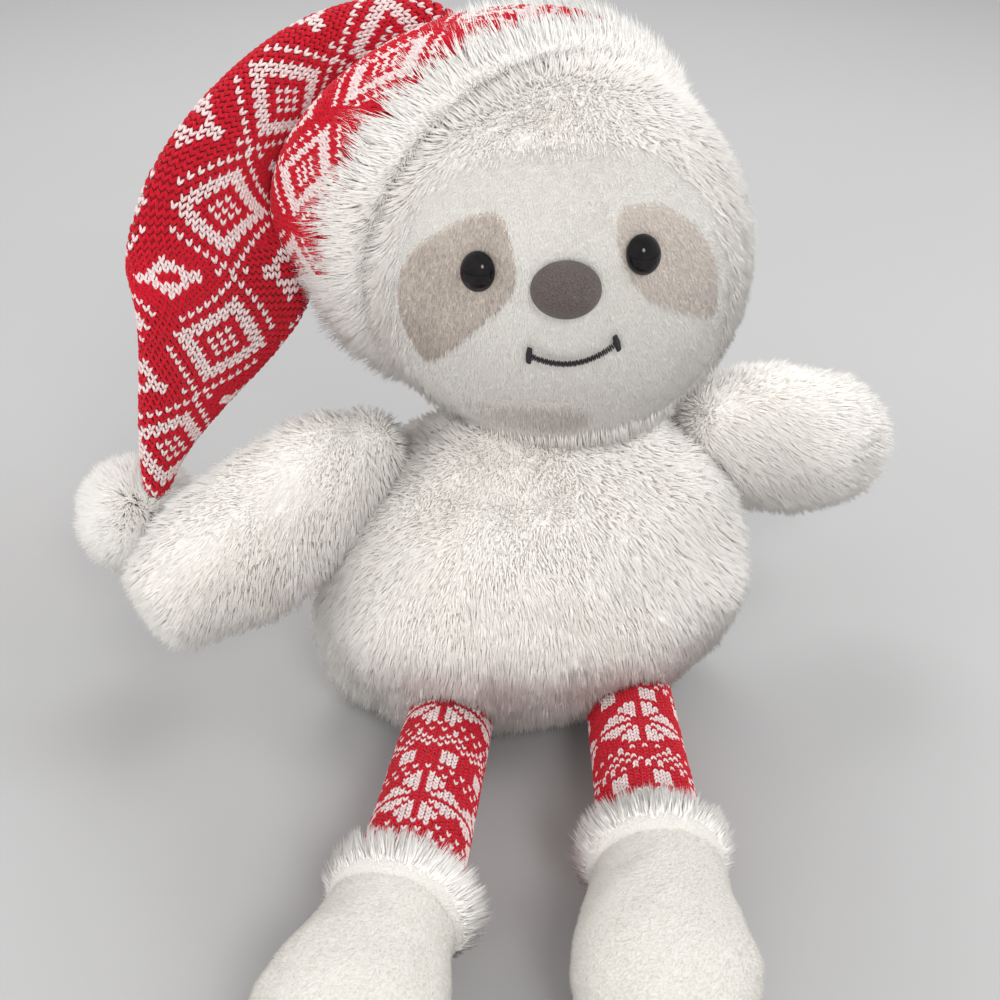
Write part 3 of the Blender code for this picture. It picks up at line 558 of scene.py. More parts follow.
# uneven filling: pushes a skin in and out by up to an amount in millimetres
def lump(skin, amount, scale, seed):
    shift = Vector((seed, seed * 1.7, -seed))
    for vertex in skin.data.vertices:
        push = noise.fractal(vertex.co * scale + shift, 1.0, 2.0, 3)
        vertex.co += vertex.normal * (push * amount * mm)


# torso, in millimetres; each ring is height, width, depth and shift back, as shares
torsoFacts = {
    "height": 132,
    "halfWidth": 95,
    "halfDepth": 70,
    "leanBack": 0.27,
    "leanSide": 0.116,
    "waist": Vector((0, 0, 60.7)),
    "neckCap": 4,
    "rings": [
        (0.0, 0.52, 0.38, 0.08),
        (0.06, 0.76, 0.60, 0.07),
        (0.20, 0.92, 0.84, 0.05),
        (0.46, 1.00, 1.01, 0.0),
        (0.66, 0.92, 0.95, 0.0),
        (0.82, 0.74, 0.80, 0.02),
        (0.93, 0.52, 0.60, 0.04),
        (1.0, 0.34, 0.42, 0.06),
    ],
}
# how far skins and fillings lie inside the outline of the pile, in millimetres
depths = {
    "bodySkin": 4.8,
    "headSkin": 5.4,
    "armSkin": 5.0,
    "footSkin": 3.0,
    "legCloth": 1.0,
    "facePanel": 5.2,
    "facePile": 5.0,
    "patch": 4.9,
    "crownCloth": 1.2,
    "tailCloth": 1.1,
    "bodyStuffing": 10.0,
    "headStuffing": 12.0,
    "armStuffing": 10.0,
    "footStuffing": 8.0,
    "legStuffing": 4.5,
}


def torsoForm(inset):
    tall, waist = torsoFacts["height"], torsoFacts["waist"]
    squeeze = 1 - 2 * inset / tall
    rings = []
    for height, width, depth, back in torsoFacts["rings"]:
        rise = height * tall - waist.z
        y = max(rise, 0) * torsoFacts["leanBack"] + back * torsoFacts["halfDepth"]
        z = tall / 2 + (height * tall - tall / 2) * squeeze
        across = (width * torsoFacts["halfWidth"] - inset) * mm
        along = (depth * torsoFacts["halfDepth"] - inset) * mm
        centre = Vector((torsoFacts["leanSide"] * rise, y, z)) * mm
        rings.append((centre, Vector((across, 0, 0)), Vector((0, along, 0))))
    low = rings[0][0].copy()
    low.z = inset * mm
    high = rings[-1][0] + upward * torsoFacts["neckCap"] * mm
    return ringLoft(rings, (low, high), sides=48, steps=40)


# head
headFacts = {
    "centre": (15.14, 35.23, 191.2),
    "turns": ((-10, "Z"), (-7, "X"), (-6, "Y")),  # degrees
    "half": (80.5, 71.5, 81.0),
    "faceUnit": 82,
}
headCentre = Vector(headFacts["centre"]) * mm
headTurn = Matrix.Identity(3)
for angle, axis in headFacts["turns"]:
    headTurn = headTurn @ Matrix.Rotation(math.radians(angle), 3, axis)


def headHalf(inset):
    return [(side - inset) * mm for side in headFacts["half"]]


def headForm(inset, detail):
    cloth = bmesh.new()
    bmesh.ops.create_icosphere(cloth, subdivisions=detail, radius=1.0)
    place = Matrix.Translation(headCentre) @ headTurn.to_4x4() @ Matrix.Diagonal((*headHalf(inset), 1))
    bmesh.ops.transform(cloth, matrix=place, verts=cloth.verts)
    return cloth


def inHead(point):
    return (headTurn.transposed() @ (point - headCentre)) / (headFacts["faceUnit"] * mm)


# a place on the head, in degrees to the toy's left and up, and the way out of it
def onFace(azimuth, elevation, inset):
    half = headHalf(inset)
    a, e = math.radians(azimuth), math.radians(elevation)
    ray = Vector((math.sin(a) * math.cos(e), -math.cos(a) * math.cos(e), math.sin(e)))
    reach = 1 / math.sqrt(sum((part / side) ** 2 for part, side in zip(ray, half)))
    spot = ray * reach
    normal = Vector([part / side**2 for part, side in zip(spot, half)]).normalized()
    return headCentre + headTurn @ spot, (headTurn @ normal).normalized()


# arms and feet; each ring is a share of the length, of the half width and of the half depth
armFacts = {
    "halfWidth": 27,
    "halfDepth": 35,
    "rings": [
        (0.0, 0.66, 0.58),
        (0.18, 0.90, 0.95),
        (0.42, 1.02, 1.03),
        (0.70, 0.99, 0.97),
        (0.90, 0.74, 0.72),
    ],
}
arms = {
    "right": {"pivot": (-62, 20, 118), "direction": (-0.822, -0.39, -0.34), "length": 116},
    "left": {"pivot": (78, 27, 110), "direction": (0.90, 0.20, -0.31), "length": 98},
}
footFacts = {
    "length": 90,
    "halfWidth": 34,
    "halfHeight": 31,
    "height": 30.5,  # of the foot's middle line, where the foot is widest
    "levelShare": 0.62,  # how far along the foot that is
    "seamPile": 0.35,  # share of the pile that grows on the seam
    "seamHalfWidth": 0.35,
    "seamCuts": (-0.8, 0.0, 0.8),  # edges of the skin beside the seam
    "seamMerge": 0.3,
    "rings": [
        (0.0, 0.70, 0.74),
        (0.28, 0.84, 0.88),
        (0.62, 1.0, 1.0),
        (0.86, 0.80, 0.82),
        (0.94, 0.55, 0.57),
    ],
}
legs = {
    "right": {"hip": (-37, -27, 21), "ankle": (-73.09, -145.03, 32.94), "toe": 27},
    "left": {"hip": (37, -17, 21), "ankle": (17.69, -138.9, 32.94), "toe": 10},
}

limbEnds = {"root": 0.06, "tip": 0.09}  # how far the rounded ends reach past the rings, in lengths


def limbForm(start, direction, size, shares, inset, sides=32, steps=24):
    length, halfWidth, halfDepth = size
    start, direction = Vector(start) * mm, Vector(direction).normalized()
    side, up = crossAxes(direction)
    rings = []
    for along, width, depth in shares:
        centre = start + direction * (along * length * mm)
        rings.append((centre, side * (width * halfWidth - inset) * mm, up * (depth * halfDepth - inset) * mm))
    first = start - direction * (limbEnds["root"] * length * mm)
    last = rings[-1][0] + direction * (limbEnds["tip"] * length - inset) * mm
    return ringLoft(rings, (first, last), sides, steps)


def armForm(side, inset):
    arm = arms[side]
    size = (arm["length"], armFacts["halfWidth"], armFacts["halfDepth"])
    return limbForm(arm["pivot"], arm["direction"], size, armFacts["rings"], inset)


def toeWay(side):
    a = math.radians(legs[side]["toe"])
    drop = footFacts["height"] - legs[side]["ankle"][2]
    slope = drop / (footFacts["length"] * footFacts["levelShare"])
    return Vector((-math.sin(a), -math.cos(a), slope)).normalized()


def footForm(side, inset, sides=32, steps=24):
    size = (footFacts["length"], footFacts["halfWidth"], footFacts["halfHeight"])
    return limbForm(legs[side]["ankle"], toeWay(side), size, footFacts["rings"], inset, sides, steps)


# how far a place is from the seam that runs over the middle of a foot
def fromSeam(side, place):
    return (place - Vector(legs[side]["ankle"]) * mm).dot(crossAxes(toeWay(side))[0])


def footCover(side):
    cloth = footForm(side, depths["footSkin"], sides=64, steps=40)
    across = crossAxes(toeWay(side))[0]
    ankle = Vector(legs[side]["ankle"]) * mm
    for offset in footFacts["seamCuts"]:
        geometry = [*cloth.verts, *cloth.edges, *cloth.faces]
        bmesh.ops.bisect_plane(cloth, geom=geometry, plane_co=ankle + across * offset * mm, plane_no=across)
    bmesh.ops.remove_doubles(cloth, verts=cloth.verts, dist=footFacts["seamMerge"] * mm)
    return cloth


bodySkin = settle("bodySkin", torsoForm(depths["bodySkin"]))
headSkin = settle("headSkin", headForm(depths["headSkin"], 5))
armSkins = {side: settle(f"armSkin_{side}", armForm(side, depths["armSkin"])) for side in arms}
footSkins = {side: settle(f"footSkin_{side}", footCover(side)) for side in legs}
lumps = {"body": (3.0, 26, 0.0), "limb": (1.6, 34, 2.0)}  # millimetres, fineness, seed
lump(bodySkin, *lumps["body"])
for skin in [*armSkins.values(), *footSkins.values()]:
    lump(skin, *lumps["limb"])
# every skin so far, to ask how deep a place lies in it
forest = {"body": surfaceTree(bodySkin), "head": surfaceTree(headSkin)}
for side in arms:
    forest[f"arm{side}"] = surfaceTree(armSkins[side])
    forest[f"foot{side}"] = surfaceTree(footSkins[side])


def others(*names):
    return [form for name, form in forest.items() if name not in names]


# each skin and the fibre that fills it
stuffings = {
    "bodyStuffing": (torsoForm(depths["bodyStuffing"]), "torso", "body_filling"),
    "headStuffing": (headForm(depths["headStuffing"], 4), "head", "head_filling"),
}
for side in arms:
    cloth = armForm(side, depths["armStuffing"])
    stuffings[f"armStuffing_{side}"] = (cloth, f"arm_{side}", f"arm_{side}_filling")
for side in legs:
    cloth = footForm(side, depths["footStuffing"])
    stuffings[f"footStuffing_{side}"] = (cloth, f"foot_{side}", f"foot_{side}_filling")
for name, (cloth, body, node) in stuffings.items():
    dress(settle(name, cloth), body, finishes["fillingFibre"], "white_filling", node)
dress(bodySkin, "torso", finishes["whiteBacking"], "white_pile", "body_cover")
dress(headSkin, "head", finishes["whiteBacking"], "white_pile", "head_cover")
for side in arms:
    dress(armSkins[side], f"arm_{side}", finishes["whiteBacking"], "white_pile", f"arm_{side}_cover")
for side in legs:
    dress(footSkins[side], f"foot_{side}", finishes["shortBacking"], "short_white_pile", f"foot_{side}_cover")
print("skins and filling made")

# hat: brim ring, crown and the long folded tail, in millimetres
hatFacts = {
    "axis": (-0.33, 0.91, 0.23),
    "brimOffset": 33,
    "fold": (-42, 64, 74),
    "hem": -1.5,  # the crown's first stitches, from the middle of the brim
    "blend": (10, 12),  # how far before and after the fold the cloth bends
    "wale": 2.9,
    "course": 2.5,
    "uneven": {"crown": 0.05, "tail": 0.06},
}
brimFacts = {"radius": 75, "halfWidth": 14, "halfDepth": 7.0}
# each ring: turn towards the fold, travel along it, slack on the tail's side, share of the full width
crownFacts = {
    "shift": (-5, 3, 4),
    "radius": 89.5,
    "slackWay": (-0.90, 0.10, -0.42),
    "slackWidth": 0.45,  # how much of the slack also widens the ring
    "ends": (4, 2),  # how far the cloth reaches past its first ring and short of the fold
    "rings": [
        (0.0, 0.27, 0, 0.89),
        (0.05, 0.34, 1, 0.955),
        (0.10, 0.40, 3, 0.99),
        (0.22, 0.52, 8, 1.0),
        (0.45, 0.68, 17, 1.0),
        (0.70, 0.83, 18, 1.0),
        (0.95, 0.955, 4, 1.0),
        (1.0, 0.985, 0, 1.0),
    ],
}
# each ring: sideways, back and down from the fold in shares of the length, then width and thickness
tailFacts = {
    "length": 240,
    "halfWidth": 41,
    "halfThickness": 12,
    "fold": ((-9, 17, 13), (-1, 13.5, 11)),
    "smoothing": 10,
    "end": 3,
    "tipWay": (-0.2, -0.1, -1),
    "rings": [
        (-0.120, -0.022, 0.0, 0.34, 0.74),
        (-0.225, -0.054, -0.035, 0.38, 0.88),
        (-0.330, -0.100, -0.130, 0.53, 0.95),
        (-0.383, -0.131, -0.225, 0.72, 0.92),
        (-0.386, -0.150, -0.304, 0.90, 0.90),
        (-0.370, -0.179, -0.378, 1.00, 0.85),
        (-0.425, -0.188, -0.485, 0.70, 0.76),
        (-0.486, -0.198, -0.595, 0.39, 0.62),
        (-0.520, -0.211, -0.680, 0.20, 0.46),
        (-0.531, -0.218, -0.733, 0.11, 0.36),
    ],
}
hatAxis = Vector(hatFacts["axis"]).normalized()
brimCentre = headCentre + hatAxis * hatFacts["brimOffset"] * mm
crownCentre = headCentre + Vector(crownFacts["shift"]) * mm
fold = headCentre + Vector(hatFacts["fold"]) * mm
toFold = (fold - crownCentre).normalized()


# how far a place lies behind the middle of the brim
def pastBrim(place):
    return (place - brimCentre).dot(hatAxis)


def crownRings(inset):
    radius, slackWay = crownFacts["radius"] * mm, Vector(crownFacts["slackWay"])
    rings = []
    for turned, travel, slack, full in crownFacts["rings"]:
        forward = hatAxis.lerp(toFold, turned).normalized()
        side, up = crossAxes(forward)
        reach = (radius - inset * mm) * math.sqrt(1 - travel**2) * full + slack * crownFacts["slackWidth"] * mm
        centre = crownCentre + forward * (travel * radius) + slackWay * slack * mm
        rings.append((centre, side * reach, up * reach))
    return rings


def tailRings(inset):
    centres, sizes = [], []
    for back, width, thickness in tailFacts["fold"]:
        centres.append(fold + toFold * back * mm)
        sizes.append((width, thickness))
    for sideways, back, down, width, thickness in tailFacts["rings"]:
        centres.append(fold + Vector((sideways, back, down)) * tailFacts["length"] * mm)
        sizes.append((width * tailFacts["halfWidth"], thickness * tailFacts["halfThickness"]))
    rings = []
    for k, (width, thickness) in enumerate(sizes):
        ahead = (centres[min(k + 1, len(centres) - 1)] - centres[max(k - 1, 0)]).normalized()
        thick = (hatAxis - ahead * hatAxis.dot(ahead)).normalized()
        wide = ahead.cross(thick).normalized()
        rings.append((centres[k], wide * (width - inset) * mm, -thick * (thickness - inset) * mm))
    return rings


# stocking stitch: each stitch is a V of two plump strands of yarn, in millimetres
yarnLean = 0.42  # radians


def stitchShape(name, width, rise, thick, spread):
    stitch = bmesh.new()
    for side in (-1, 1):
        yarn = bmesh.ops.create_icosphere(stitch, subdivisions=1, radius=0.5)["verts"]
        place = Matrix.Translation((side * spread * mm, 0, 0)) @ Matrix.Rotation(-side * yarnLean, 4, "Z")
        place = place @ Matrix.Diagonal((width * mm, rise * mm, thick * mm, 1))
        bmesh.ops.transform(stitch, matrix=place, verts=yarn)
    return looseShape(name, stitch)


def sewingTree():
    tree, given, result = newGroup("stitches", {"sites": "Geometry", "stitch": "Object"})
    facing, rise, size = [attribute(tree, name, "FLOAT_VECTOR") for name in ("facing", "rise", "size")]
    feed(tree, result[0], plant(tree, given["sites"], given["stitch"], facing, rise, size))
    return tree


sewing = sewingTree()


# one stitch at each site; a site is place, way out, way up, size and colour (1 is white)
def sew(name, sites, stitch, body, material, slot, *nodes):
    cloth = bmesh.new()
    vectors = [cloth.verts.layers.float_vector.new(label) for label in ("facing", "rise", "size")]
    tint = cloth.verts.layers.float.new("tint")
    for place, out, up, scale, colour in sites:
        spot = bmesh.ops.create_vert(cloth, co=place)["vert"][0]
        for layer, value in zip(vectors, (out, up, scale)):
            spot[layer] = value
        spot[tint] = colour
    piece = settle(name, cloth)
    runGroup(piece, sewing, {"stitch": stitch}, ("facing", "rise", "size"))
    for face in piece.data.polygons:
        face.use_smooth = True
    dress(piece, body, material, slot, *nodes)
    return piece


# which stitches are white, by row and column, in the old Nordic manner: diamonds, dots and lattices
def hatPattern(row, column):
    band = row % 21
    across = abs((column + 9) % 18 - 9)
    line = abs(band - 10)
    reach = across / 7.6 + line / 8.0
    corner = (9 - across) / 4.6 + (10.5 - line) / 4.2
    if 0.56 < reach < 1.0 or 0.35 < corner < 1.0:
        return True
    if reach < 0.36 or 1.14 < reach < 1.3:
        return (across + band) % 2 == 0
    return band == 20 and corner > 1.4 and column % 2 == 0


# an eight-petalled star, counted in stitches from its middle
def star(across, line):
    near, far = sorted((across, line))
    return 1 <= near <= 3 and far >= near + 1 and near + far <= 8


def zigzag(row, column, period):
    return abs(abs(column % period - period // 2) - row) < 1


def starPattern(row, column):
    band = row % 27
    if band <= 12:
        return star(abs((column + 8) % 16 - 8), abs(band - 6))
    if band in (14, 20):
        return column % 2 == 0
    if 15 <= band <= 19:
        return zigzag(band - 15, column, 8) or zigzag(band - 17, column, 8)
    return 22 <= band <= 25 and column % 7 in (1, 2, 3)


def blockPattern(row, column):
    band = row % 30
    if band <= 3:
        return column % 7 in (2, 3, 4)
    if band in (5, 7, 21, 23):
        return (column + band // 2) % 2 == 0
    if 8 <= band <= 20:
        return star(abs((column + 7) % 14 - 7), abs(band - 14))
    return 24 <= band <= 28 and (zigzag(band - 24, column, 6) or zigzag(band - 26, column, 6))


knitFacts = {
    "alongSteps": 160,
    "aroundSteps": 180,
    "lookAhead": 3,
    "strayScale": 900,
    "sizeScale": 1500,
    "whiteSlim": 0.12,  # white yarn is a little thinner
}


# how far along each of a row of places is
def distances(places):
    lengths = [0.0]
    for low, high in zip(places, places[1:]):
        lengths.append(lengths[-1] + (high - low).length)
    return lengths


# rows of whole stitches around rings: a wale is one stitch wide, a course one stitch high,
# uneven is how far stitches stray, and flip is -1 where they point down
def knitSites(rings, wale, course, pattern, uneven, flip, keep=lambda place: True, rounds=0):
    steps, slots = knitFacts["alongSteps"], knitFacts["aroundSteps"]
    dense = smoothRings(rings, steps, rounds * 7)
    travel = distances([ring[0] for ring in dense])
    turns = [2 * math.pi * j / slots for j in range(slots + 1)]
    sites = []
    k = 0
    for row in range(int(travel[-1] / (course * mm)) + 1):
        wanted = row * course * mm
        while k < steps - 1 and travel[k + 1] < wanted:
            k += 1
        share = (wanted - travel[k]) / max(travel[k + 1] - travel[k], 1e-9)
        here = tuple(a.lerp(b, share) for a, b in zip(dense[k], dense[k + 1]))
        ahead = dense[min(k + knitFacts["lookAhead"], steps)]
        lengths = distances([here[1] * math.sin(a) + here[2] * math.cos(a) for a in turns])
        count = max(6, round(lengths[-1] / (wale * mm)))
        for j in range(count):
            column = j - count // 2
            around = (column / count) % 1.0 * lengths[-1]
            m = 0
            while m < slots - 1 and lengths[m + 1] < around:
                m += 1
            angle = turns[m] + (around - lengths[m]) / max(lengths[m + 1] - lengths[m], 1e-9) * turns[1]
            arm = here[1] * math.sin(angle) + here[2] * math.cos(angle)
            sweep = here[1] * math.cos(angle) - here[2] * math.sin(angle)
            above = ahead[0] + ahead[1] * math.sin(angle) + ahead[2] * math.cos(angle)
            place = here[0] + arm
            if not keep(place):
                continue
            rise = (above - place).normalized() * flip
            out = sweep.cross(rise).normalized()
            if out.dot(arm) < 0:
                out = -out
            stray = noise.noise_vector(place * knitFacts["strayScale"]) * (uneven * 4 * mm)
            scale = 1 + uneven * noise.noise(place * knitFacts["sizeScale"])
            white = float(pattern(row, column))
            slim = scale * (1 - knitFacts["whiteSlim"] * white)
            sites.append((place + stray, out, rise, (slim, scale, slim), white))
    return sites


yarnTones = {
    "deepRed": (0.40, 0.002, 0.012),
    "red": (0.60, 0.004, 0.022),
    "pink": (0.66, 0.46, 0.46),  # white yarn where red shines through it
    "white": (0.84, 0.735, 0.725),
    "clothDark": (0.36, 0.003, 0.013),
    "clothLight": (0.50, 0.004, 0.019),
}


def knitFinish(name):
    made, tree, shader = newMaterial(name, 0.85, sheen=0.12)
    fuzz = ramp(tree, objectNoise(tree, 700.0, 4.0), 0.3, 0.7)
    redTone = blendColours(tree, fuzz, yarnTones["deepRed"], yarnTones["red"])
    whiteTone = blendColours(tree, fuzz, yarnTones["pink"], yarnTones["white"])
    feed(tree, shader.inputs["Base Color"], blendColours(tree, named(tree, "tint"), redTone, whiteTone))
    bumpFrom(tree, shader, objectNoise(tree, 2600.0, 3.0), 0.0003, 0.9)
    shader.inputs["Specular IOR Level"].default_value = 0.2
    return made


redKnit = knitFinish("redKnit")
knitCloth = mottledFinish(
    "knitCloth",
    roughness=0.95,
    low=yarnTones["clothDark"],
    high=yarnTones["clothLight"],
    grain=800.0,
    bump=0.0006,
)

hatStitch = stitchShape("hatStitch", width=1.6, rise=4.3, thick=1.5, spread=0.72)
stitchSize = (hatFacts["wale"], hatFacts["course"])
crownInner = crownRings(depths["crownCloth"])
before, short = crownFacts["ends"]
crownEnds = (crownInner[0][0] - hatAxis * before * mm, fold - toFold * short * mm)
crownCloth = settle("crownCloth", ringLoft(crownInner, crownEnds, sides=48, steps=30))
dress(crownCloth, "head", knitCloth, "red_knit", "hat_crown")
uneven = hatFacts["uneven"]
crownSites = knitSites(
    crownRings(0),
    *stitchSize,
    hatPattern,
    uneven["crown"],
    flip=1,
    keep=lambda p: pastBrim(p) >= hatFacts["hem"] * mm,
)
sew("crownKnit", crownSites, hatStitch, "head", redKnit, "red_knit")

tailInner = tailRings(depths["tailCloth"])
tipWay, reach = Vector(tailFacts["tipWay"]), tailFacts["end"]
tailEnds = (tailInner[0][0] - toFold * reach * mm, tailInner[-1][0] + tipWay * reach * mm)
tailLoft = ringLoft(tailInner, tailEnds, sides=32, steps=60, rounds=tailFacts["smoothing"])
tailCloth = settle("tailCloth", tailLoft)
dress(tailCloth, None, knitCloth, "red_knit")
tailSites = knitSites(
    tailRings(0), *stitchSize, hatPattern, uneven["tail"], flip=-1, rounds=tailFacts["smoothing"]
)
tailParts = [tailCloth]
for label, facesFront in (("tailKnitFront", True), ("tailKnitBack", False)):
    sites = [site for site in tailSites if (site[1].dot(hatAxis) < 0) == facesFront]
    tailParts.append(sew(label, sites, hatStitch, None, redKnit, "red_knit"))
for piece in tailParts:
    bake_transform(piece)
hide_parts("hat_tail")
print("hat knitted")

# brim, cuffs and pompom, which carry long loose pile
brimSkin = settle("brimSkin", roundTube(brimCentre, hatAxis, brimFacts, sides=72, section=16))
dress(brimSkin, "head", finishes["whiteBacking"], "white_pile", "hat_brim")
forest["brim"] = surfaceTree(brimSkin)
cuffFacts = {"radius": 21, "halfWidth": 5.5, "halfDepth": 4, "forward": 7}  # past the ankle, to the toes
cuffSkins = {}
for side in legs:
    way = toeWay(side)
    centre = (Vector(legs[side]["ankle"]) + way * cuffFacts["forward"]) * mm
    cuff = roundTube(centre, way, cuffFacts, sides=40, section=12)
    cuffSkins[side] = settle(f"cuffSkin_{side}", cuff)
    dress(cuffSkins[side], f"foot_{side}", finishes["shortBacking"], "white_pile", f"foot_{side}_cuff")
    forest[f"cuff{side}"] = surfaceTree(cuffSkins[side])

pompomFacts = {"offset": (-10, 11, -17), "core": 17}  # millimetres from the tail's last ring
pompomCentre = tailRings(0)[-1][0] + Vector(pompomFacts["offset"]) * mm
pompomCore = bmesh.new()
bmesh.ops.create_icosphere(
    pompomCore, subdivisions=4, radius=pompomFacts["core"] * mm, matrix=Matrix.Translation(pompomCentre)
)
pompomSkin = settle("pompomCore", pompomCore)
dress(pompomSkin, "pompom", finishes["whiteBacking"], "white_pile", "hat_pompom")

# knitted legs; each ring is a share of the way from hip to ankle and a radius in millimetres
legFacts = {
    "rings": ((0.02, 16.5), (0.3, 17.5), (0.6, 18.0), (0.85, 18.6), (1.04, 17.5)),
    "ends": (6, 12),  # how far the cloth reaches past hip and ankle
    "wale": 2.35,
    "course": 2.05,
    "uneven": 0.06,
}
legPatterns = {"right": (blockPattern, -1), "left": (starPattern, 1)}
legStitch = stitchShape("legStitch", width=1.25, rise=3.4, thick=1.3, spread=0.58)
legCloths = {}
for side, facts in legs.items():
    hip, ankle = Vector(facts["hip"]) * mm, Vector(facts["ankle"]) * mm
    way = (ankle - hip).normalized()
    across, up = crossAxes(way)

    def legRings(inset):
        sizes = [(share, (radius - inset) * mm) for share, radius in legFacts["rings"]]
        return [(hip.lerp(ankle, share), across * size, up * size) for share, size in sizes]

    ends = (hip - way * legFacts["ends"][0] * mm, ankle + way * legFacts["ends"][1] * mm)
    sleeve = ringLoft(legRings(depths["legCloth"]), ends, sides=32, steps=20)
    legCloths[side] = settle(f"legCloth_{side}", sleeve)
    dress(legCloths[side], f"leg_{side}", knitCloth, "red_knit", f"leg_{side}_sleeve")
    pattern, flip = legPatterns[side]
    stitchFacts = [legFacts["wale"], legFacts["course"], pattern, legFacts["uneven"]]
    sites = knitSites(legRings(0), *stitchFacts, flip)
    sew(f"legKnit_{side}", sites, legStitch, f"leg_{side}", redKnit, "red_knit")
    fibre = ringLoft(legRings(depths["legStuffing"]), (hip, ankle), sides=24, steps=12)
    stuffing = settle(f"legStuffing_{side}", fibre)
    dress(stuffing, f"leg_{side}", finishes["fillingFibre"], "white_filling", f"leg_{side}_filling")
    forest[f"leg{side}"] = surfaceTree(legCloths[side])
print("legs and cuffs made")


# outlines on the face, in shares of the face unit: across, up
faceHalf = [
    (0.0, 0.64), (0.28, 0.63), (0.54, 0.53), (0.70, 0.32), (0.79, 0.03),
    (0.79, -0.27), (0.70, -0.56), (0.50, -0.78), (0.24, -0.88), (0.0, -0.90),
]
rightPatch = [
    (-0.225, 0.40), (-0.195, 0.243), (-0.195, 0.101), (-0.251, 0.02), (-0.424, -0.12),
    (-0.63, -0.31), (-0.69, -0.275), (-0.748, -0.12), (-0.757, 0.027), (-0.708, 0.166),
    (-0.608, 0.275), (-0.461, 0.352), (-0.346, 0.40),
]
leftPatch = [
    (0.275, 0.365), (0.377, 0.37), (0.49, 0.335), (0.601, 0.253), (0.681, 0.133), (0.718, -0.009),
    (0.71, -0.163), (0.695, -0.235), (0.575, -0.165), (0.457, -0.10), (0.367, -0.032),
    (0.300, 0.077), (0.260, 0.215),
]
chinOutline = [
    (-0.56, -0.44), (-0.42, -0.48), (-0.22, -0.50), (-0.04, -0.52), (0.09, -0.57),
    (0.10, -0.68), (0.03, -0.76), (-0.13, -0.755), (-0.35, -0.72), (-0.52, -0.60),
]


# cuts the corners off an outline
def rounded(outline, rounds=2):
    for _ in range(rounds):
        pairs = zip(outline, outline[1:] + outline[:1])
        outline = [
            (a * (1 - t) + c * t, b * (1 - t) + d * t) for (a, b), (c, d) in pairs for t in (0.25, 0.75)
        ]
    return outline


def within(spot, outline):
    inside = False
    for (x1, z1), (x2, z2) in zip(outline, outline[1:] + outline[:1]):
        if (z1 > spot.z) != (z2 > spot.z) and spot.x < (x2 - x1) * (spot.z - z1) / (z2 - z1) + x1:
            inside = not inside
    return inside


outlines = {"left": rounded(leftPatch), "right": rounded(rightPatch, 1), "chin": rounded(chinOutline)}
faceOutline = rounded(faceHalf + [(-x, z) for x, z in reversed(faceHalf)])


def region(point):
    spot = inHead(point)
    if spot.y > 0:
        return "cover"
    for name, outline in outlines.items():
        if within(spot, outline):
            return name
    return "face" if within(spot, faceOutline) else "cover"


def faceSkin(name, wanted, detail, inset):
    cloth = headForm(inset, detail)
    spare = [face for face in cloth.faces if region(face.calc_center_median()) not in wanted]
    bmesh.ops.delete(cloth, geom=spare, context="FACES")
    return settle(name, cloth)


# eyes and nose: place on the face in degrees, then half width, half height, depth, and the post's
# radius and length, in millimetres
eyeFacts = {"right": (-25.2, 10.9), "left": (26.2, 10.8), "size": (6.7, 7.5, 5.6, 1.8, 15), "sunk": 3.2}
noseFacts = {"place": (1.4, 4.2), "size": (12.9, 10.7, 9.0, 2.4, 16), "sunk": 3.0}
# mouth: an arc of satin stitch, in degrees on the face
mouthFacts = {
    "middle": 1.9,
    "halfAngle": 13.4,
    "end": -15.0,
    "drop": 4.4,
    "tilt": 0.5,
    "sunk": 1.3,
    "stitches": 44,
    "stitch": (0.80, 2.9, 1.5),
    "tickStitches": 6,
    "tickStep": 0.5,
}
# no pile grows this close to them, measured at this depth, in millimetres
bare = {"eyes": 5.9, "nose": 9.8, "mouth": 1.8, "sunk": 4.0, "mouthSunk": 4.5}
bareEyes = [onFace(*eyeFacts[side], bare["sunk"])[0] for side in ("right", "left")]
bareNose = onFace(*noseFacts["place"], bare["sunk"])[0]


def mouthPoint(share, inset=mouthFacts["sunk"]):
    azimuth = mouthFacts["middle"] + mouthFacts["halfAngle"] * share
    elevation = mouthFacts["end"] + mouthFacts["tilt"] * share - mouthFacts["drop"] * (1 - share**2)
    return onFace(azimuth, elevation, inset)


bareMouth = [mouthPoint(k / 20, bare["mouthSunk"])[0] for k in range(-20, 21)]


def clearOfTrim(place):
    nearest = [min((place - spot).length for spot in spots) for spots in (bareEyes, [bareNose], bareMouth)]
    gaps = (bare["eyes"] * mm, bare["nose"] * mm, bare["mouth"] * mm)
    return nearest[0] >= gaps[0] and nearest[1] >= gaps[1] and nearest[2] > gaps[2]


# in face units; the white pile is thinned by a share where the chin patch shows
chinFacts = {"paintedShadeLength": 0.62, "softEdge": 0.07, "faintestPaintedShade": 0.30, "thinned": 0.75}


# how strongly the chin patch shows: soft at its edges, and darkest at one end from painted shade that fades
# towards the other
def chinPatchAndPaintedShade(place):
    spot = inHead(place)
    edge = min(math.hypot(spot.x - x, spot.z - z) for x, z in outlines["chin"])
    # painted shade: the patch is darkest at one end and fades along its length
    end = min(max((spot.x + chinFacts["paintedShadeLength"]) / chinFacts["paintedShadeLength"], 0.0), 1.0)
    shown = chinFacts["faintestPaintedShade"] + (1 - chinFacts["faintestPaintedShade"]) * end**2
    return min(edge / chinFacts["softEdge"], 1.0) * shown


def facePile(place, normal):
    # the white pile thins where the chin patch shows, and most where its painted shade is darkest
    white = 1 - chinFacts["thinned"] * chinPatchAndPaintedShade(place) if region(place) == "chin" else 1.0
    return clearOfTrim(place) * white


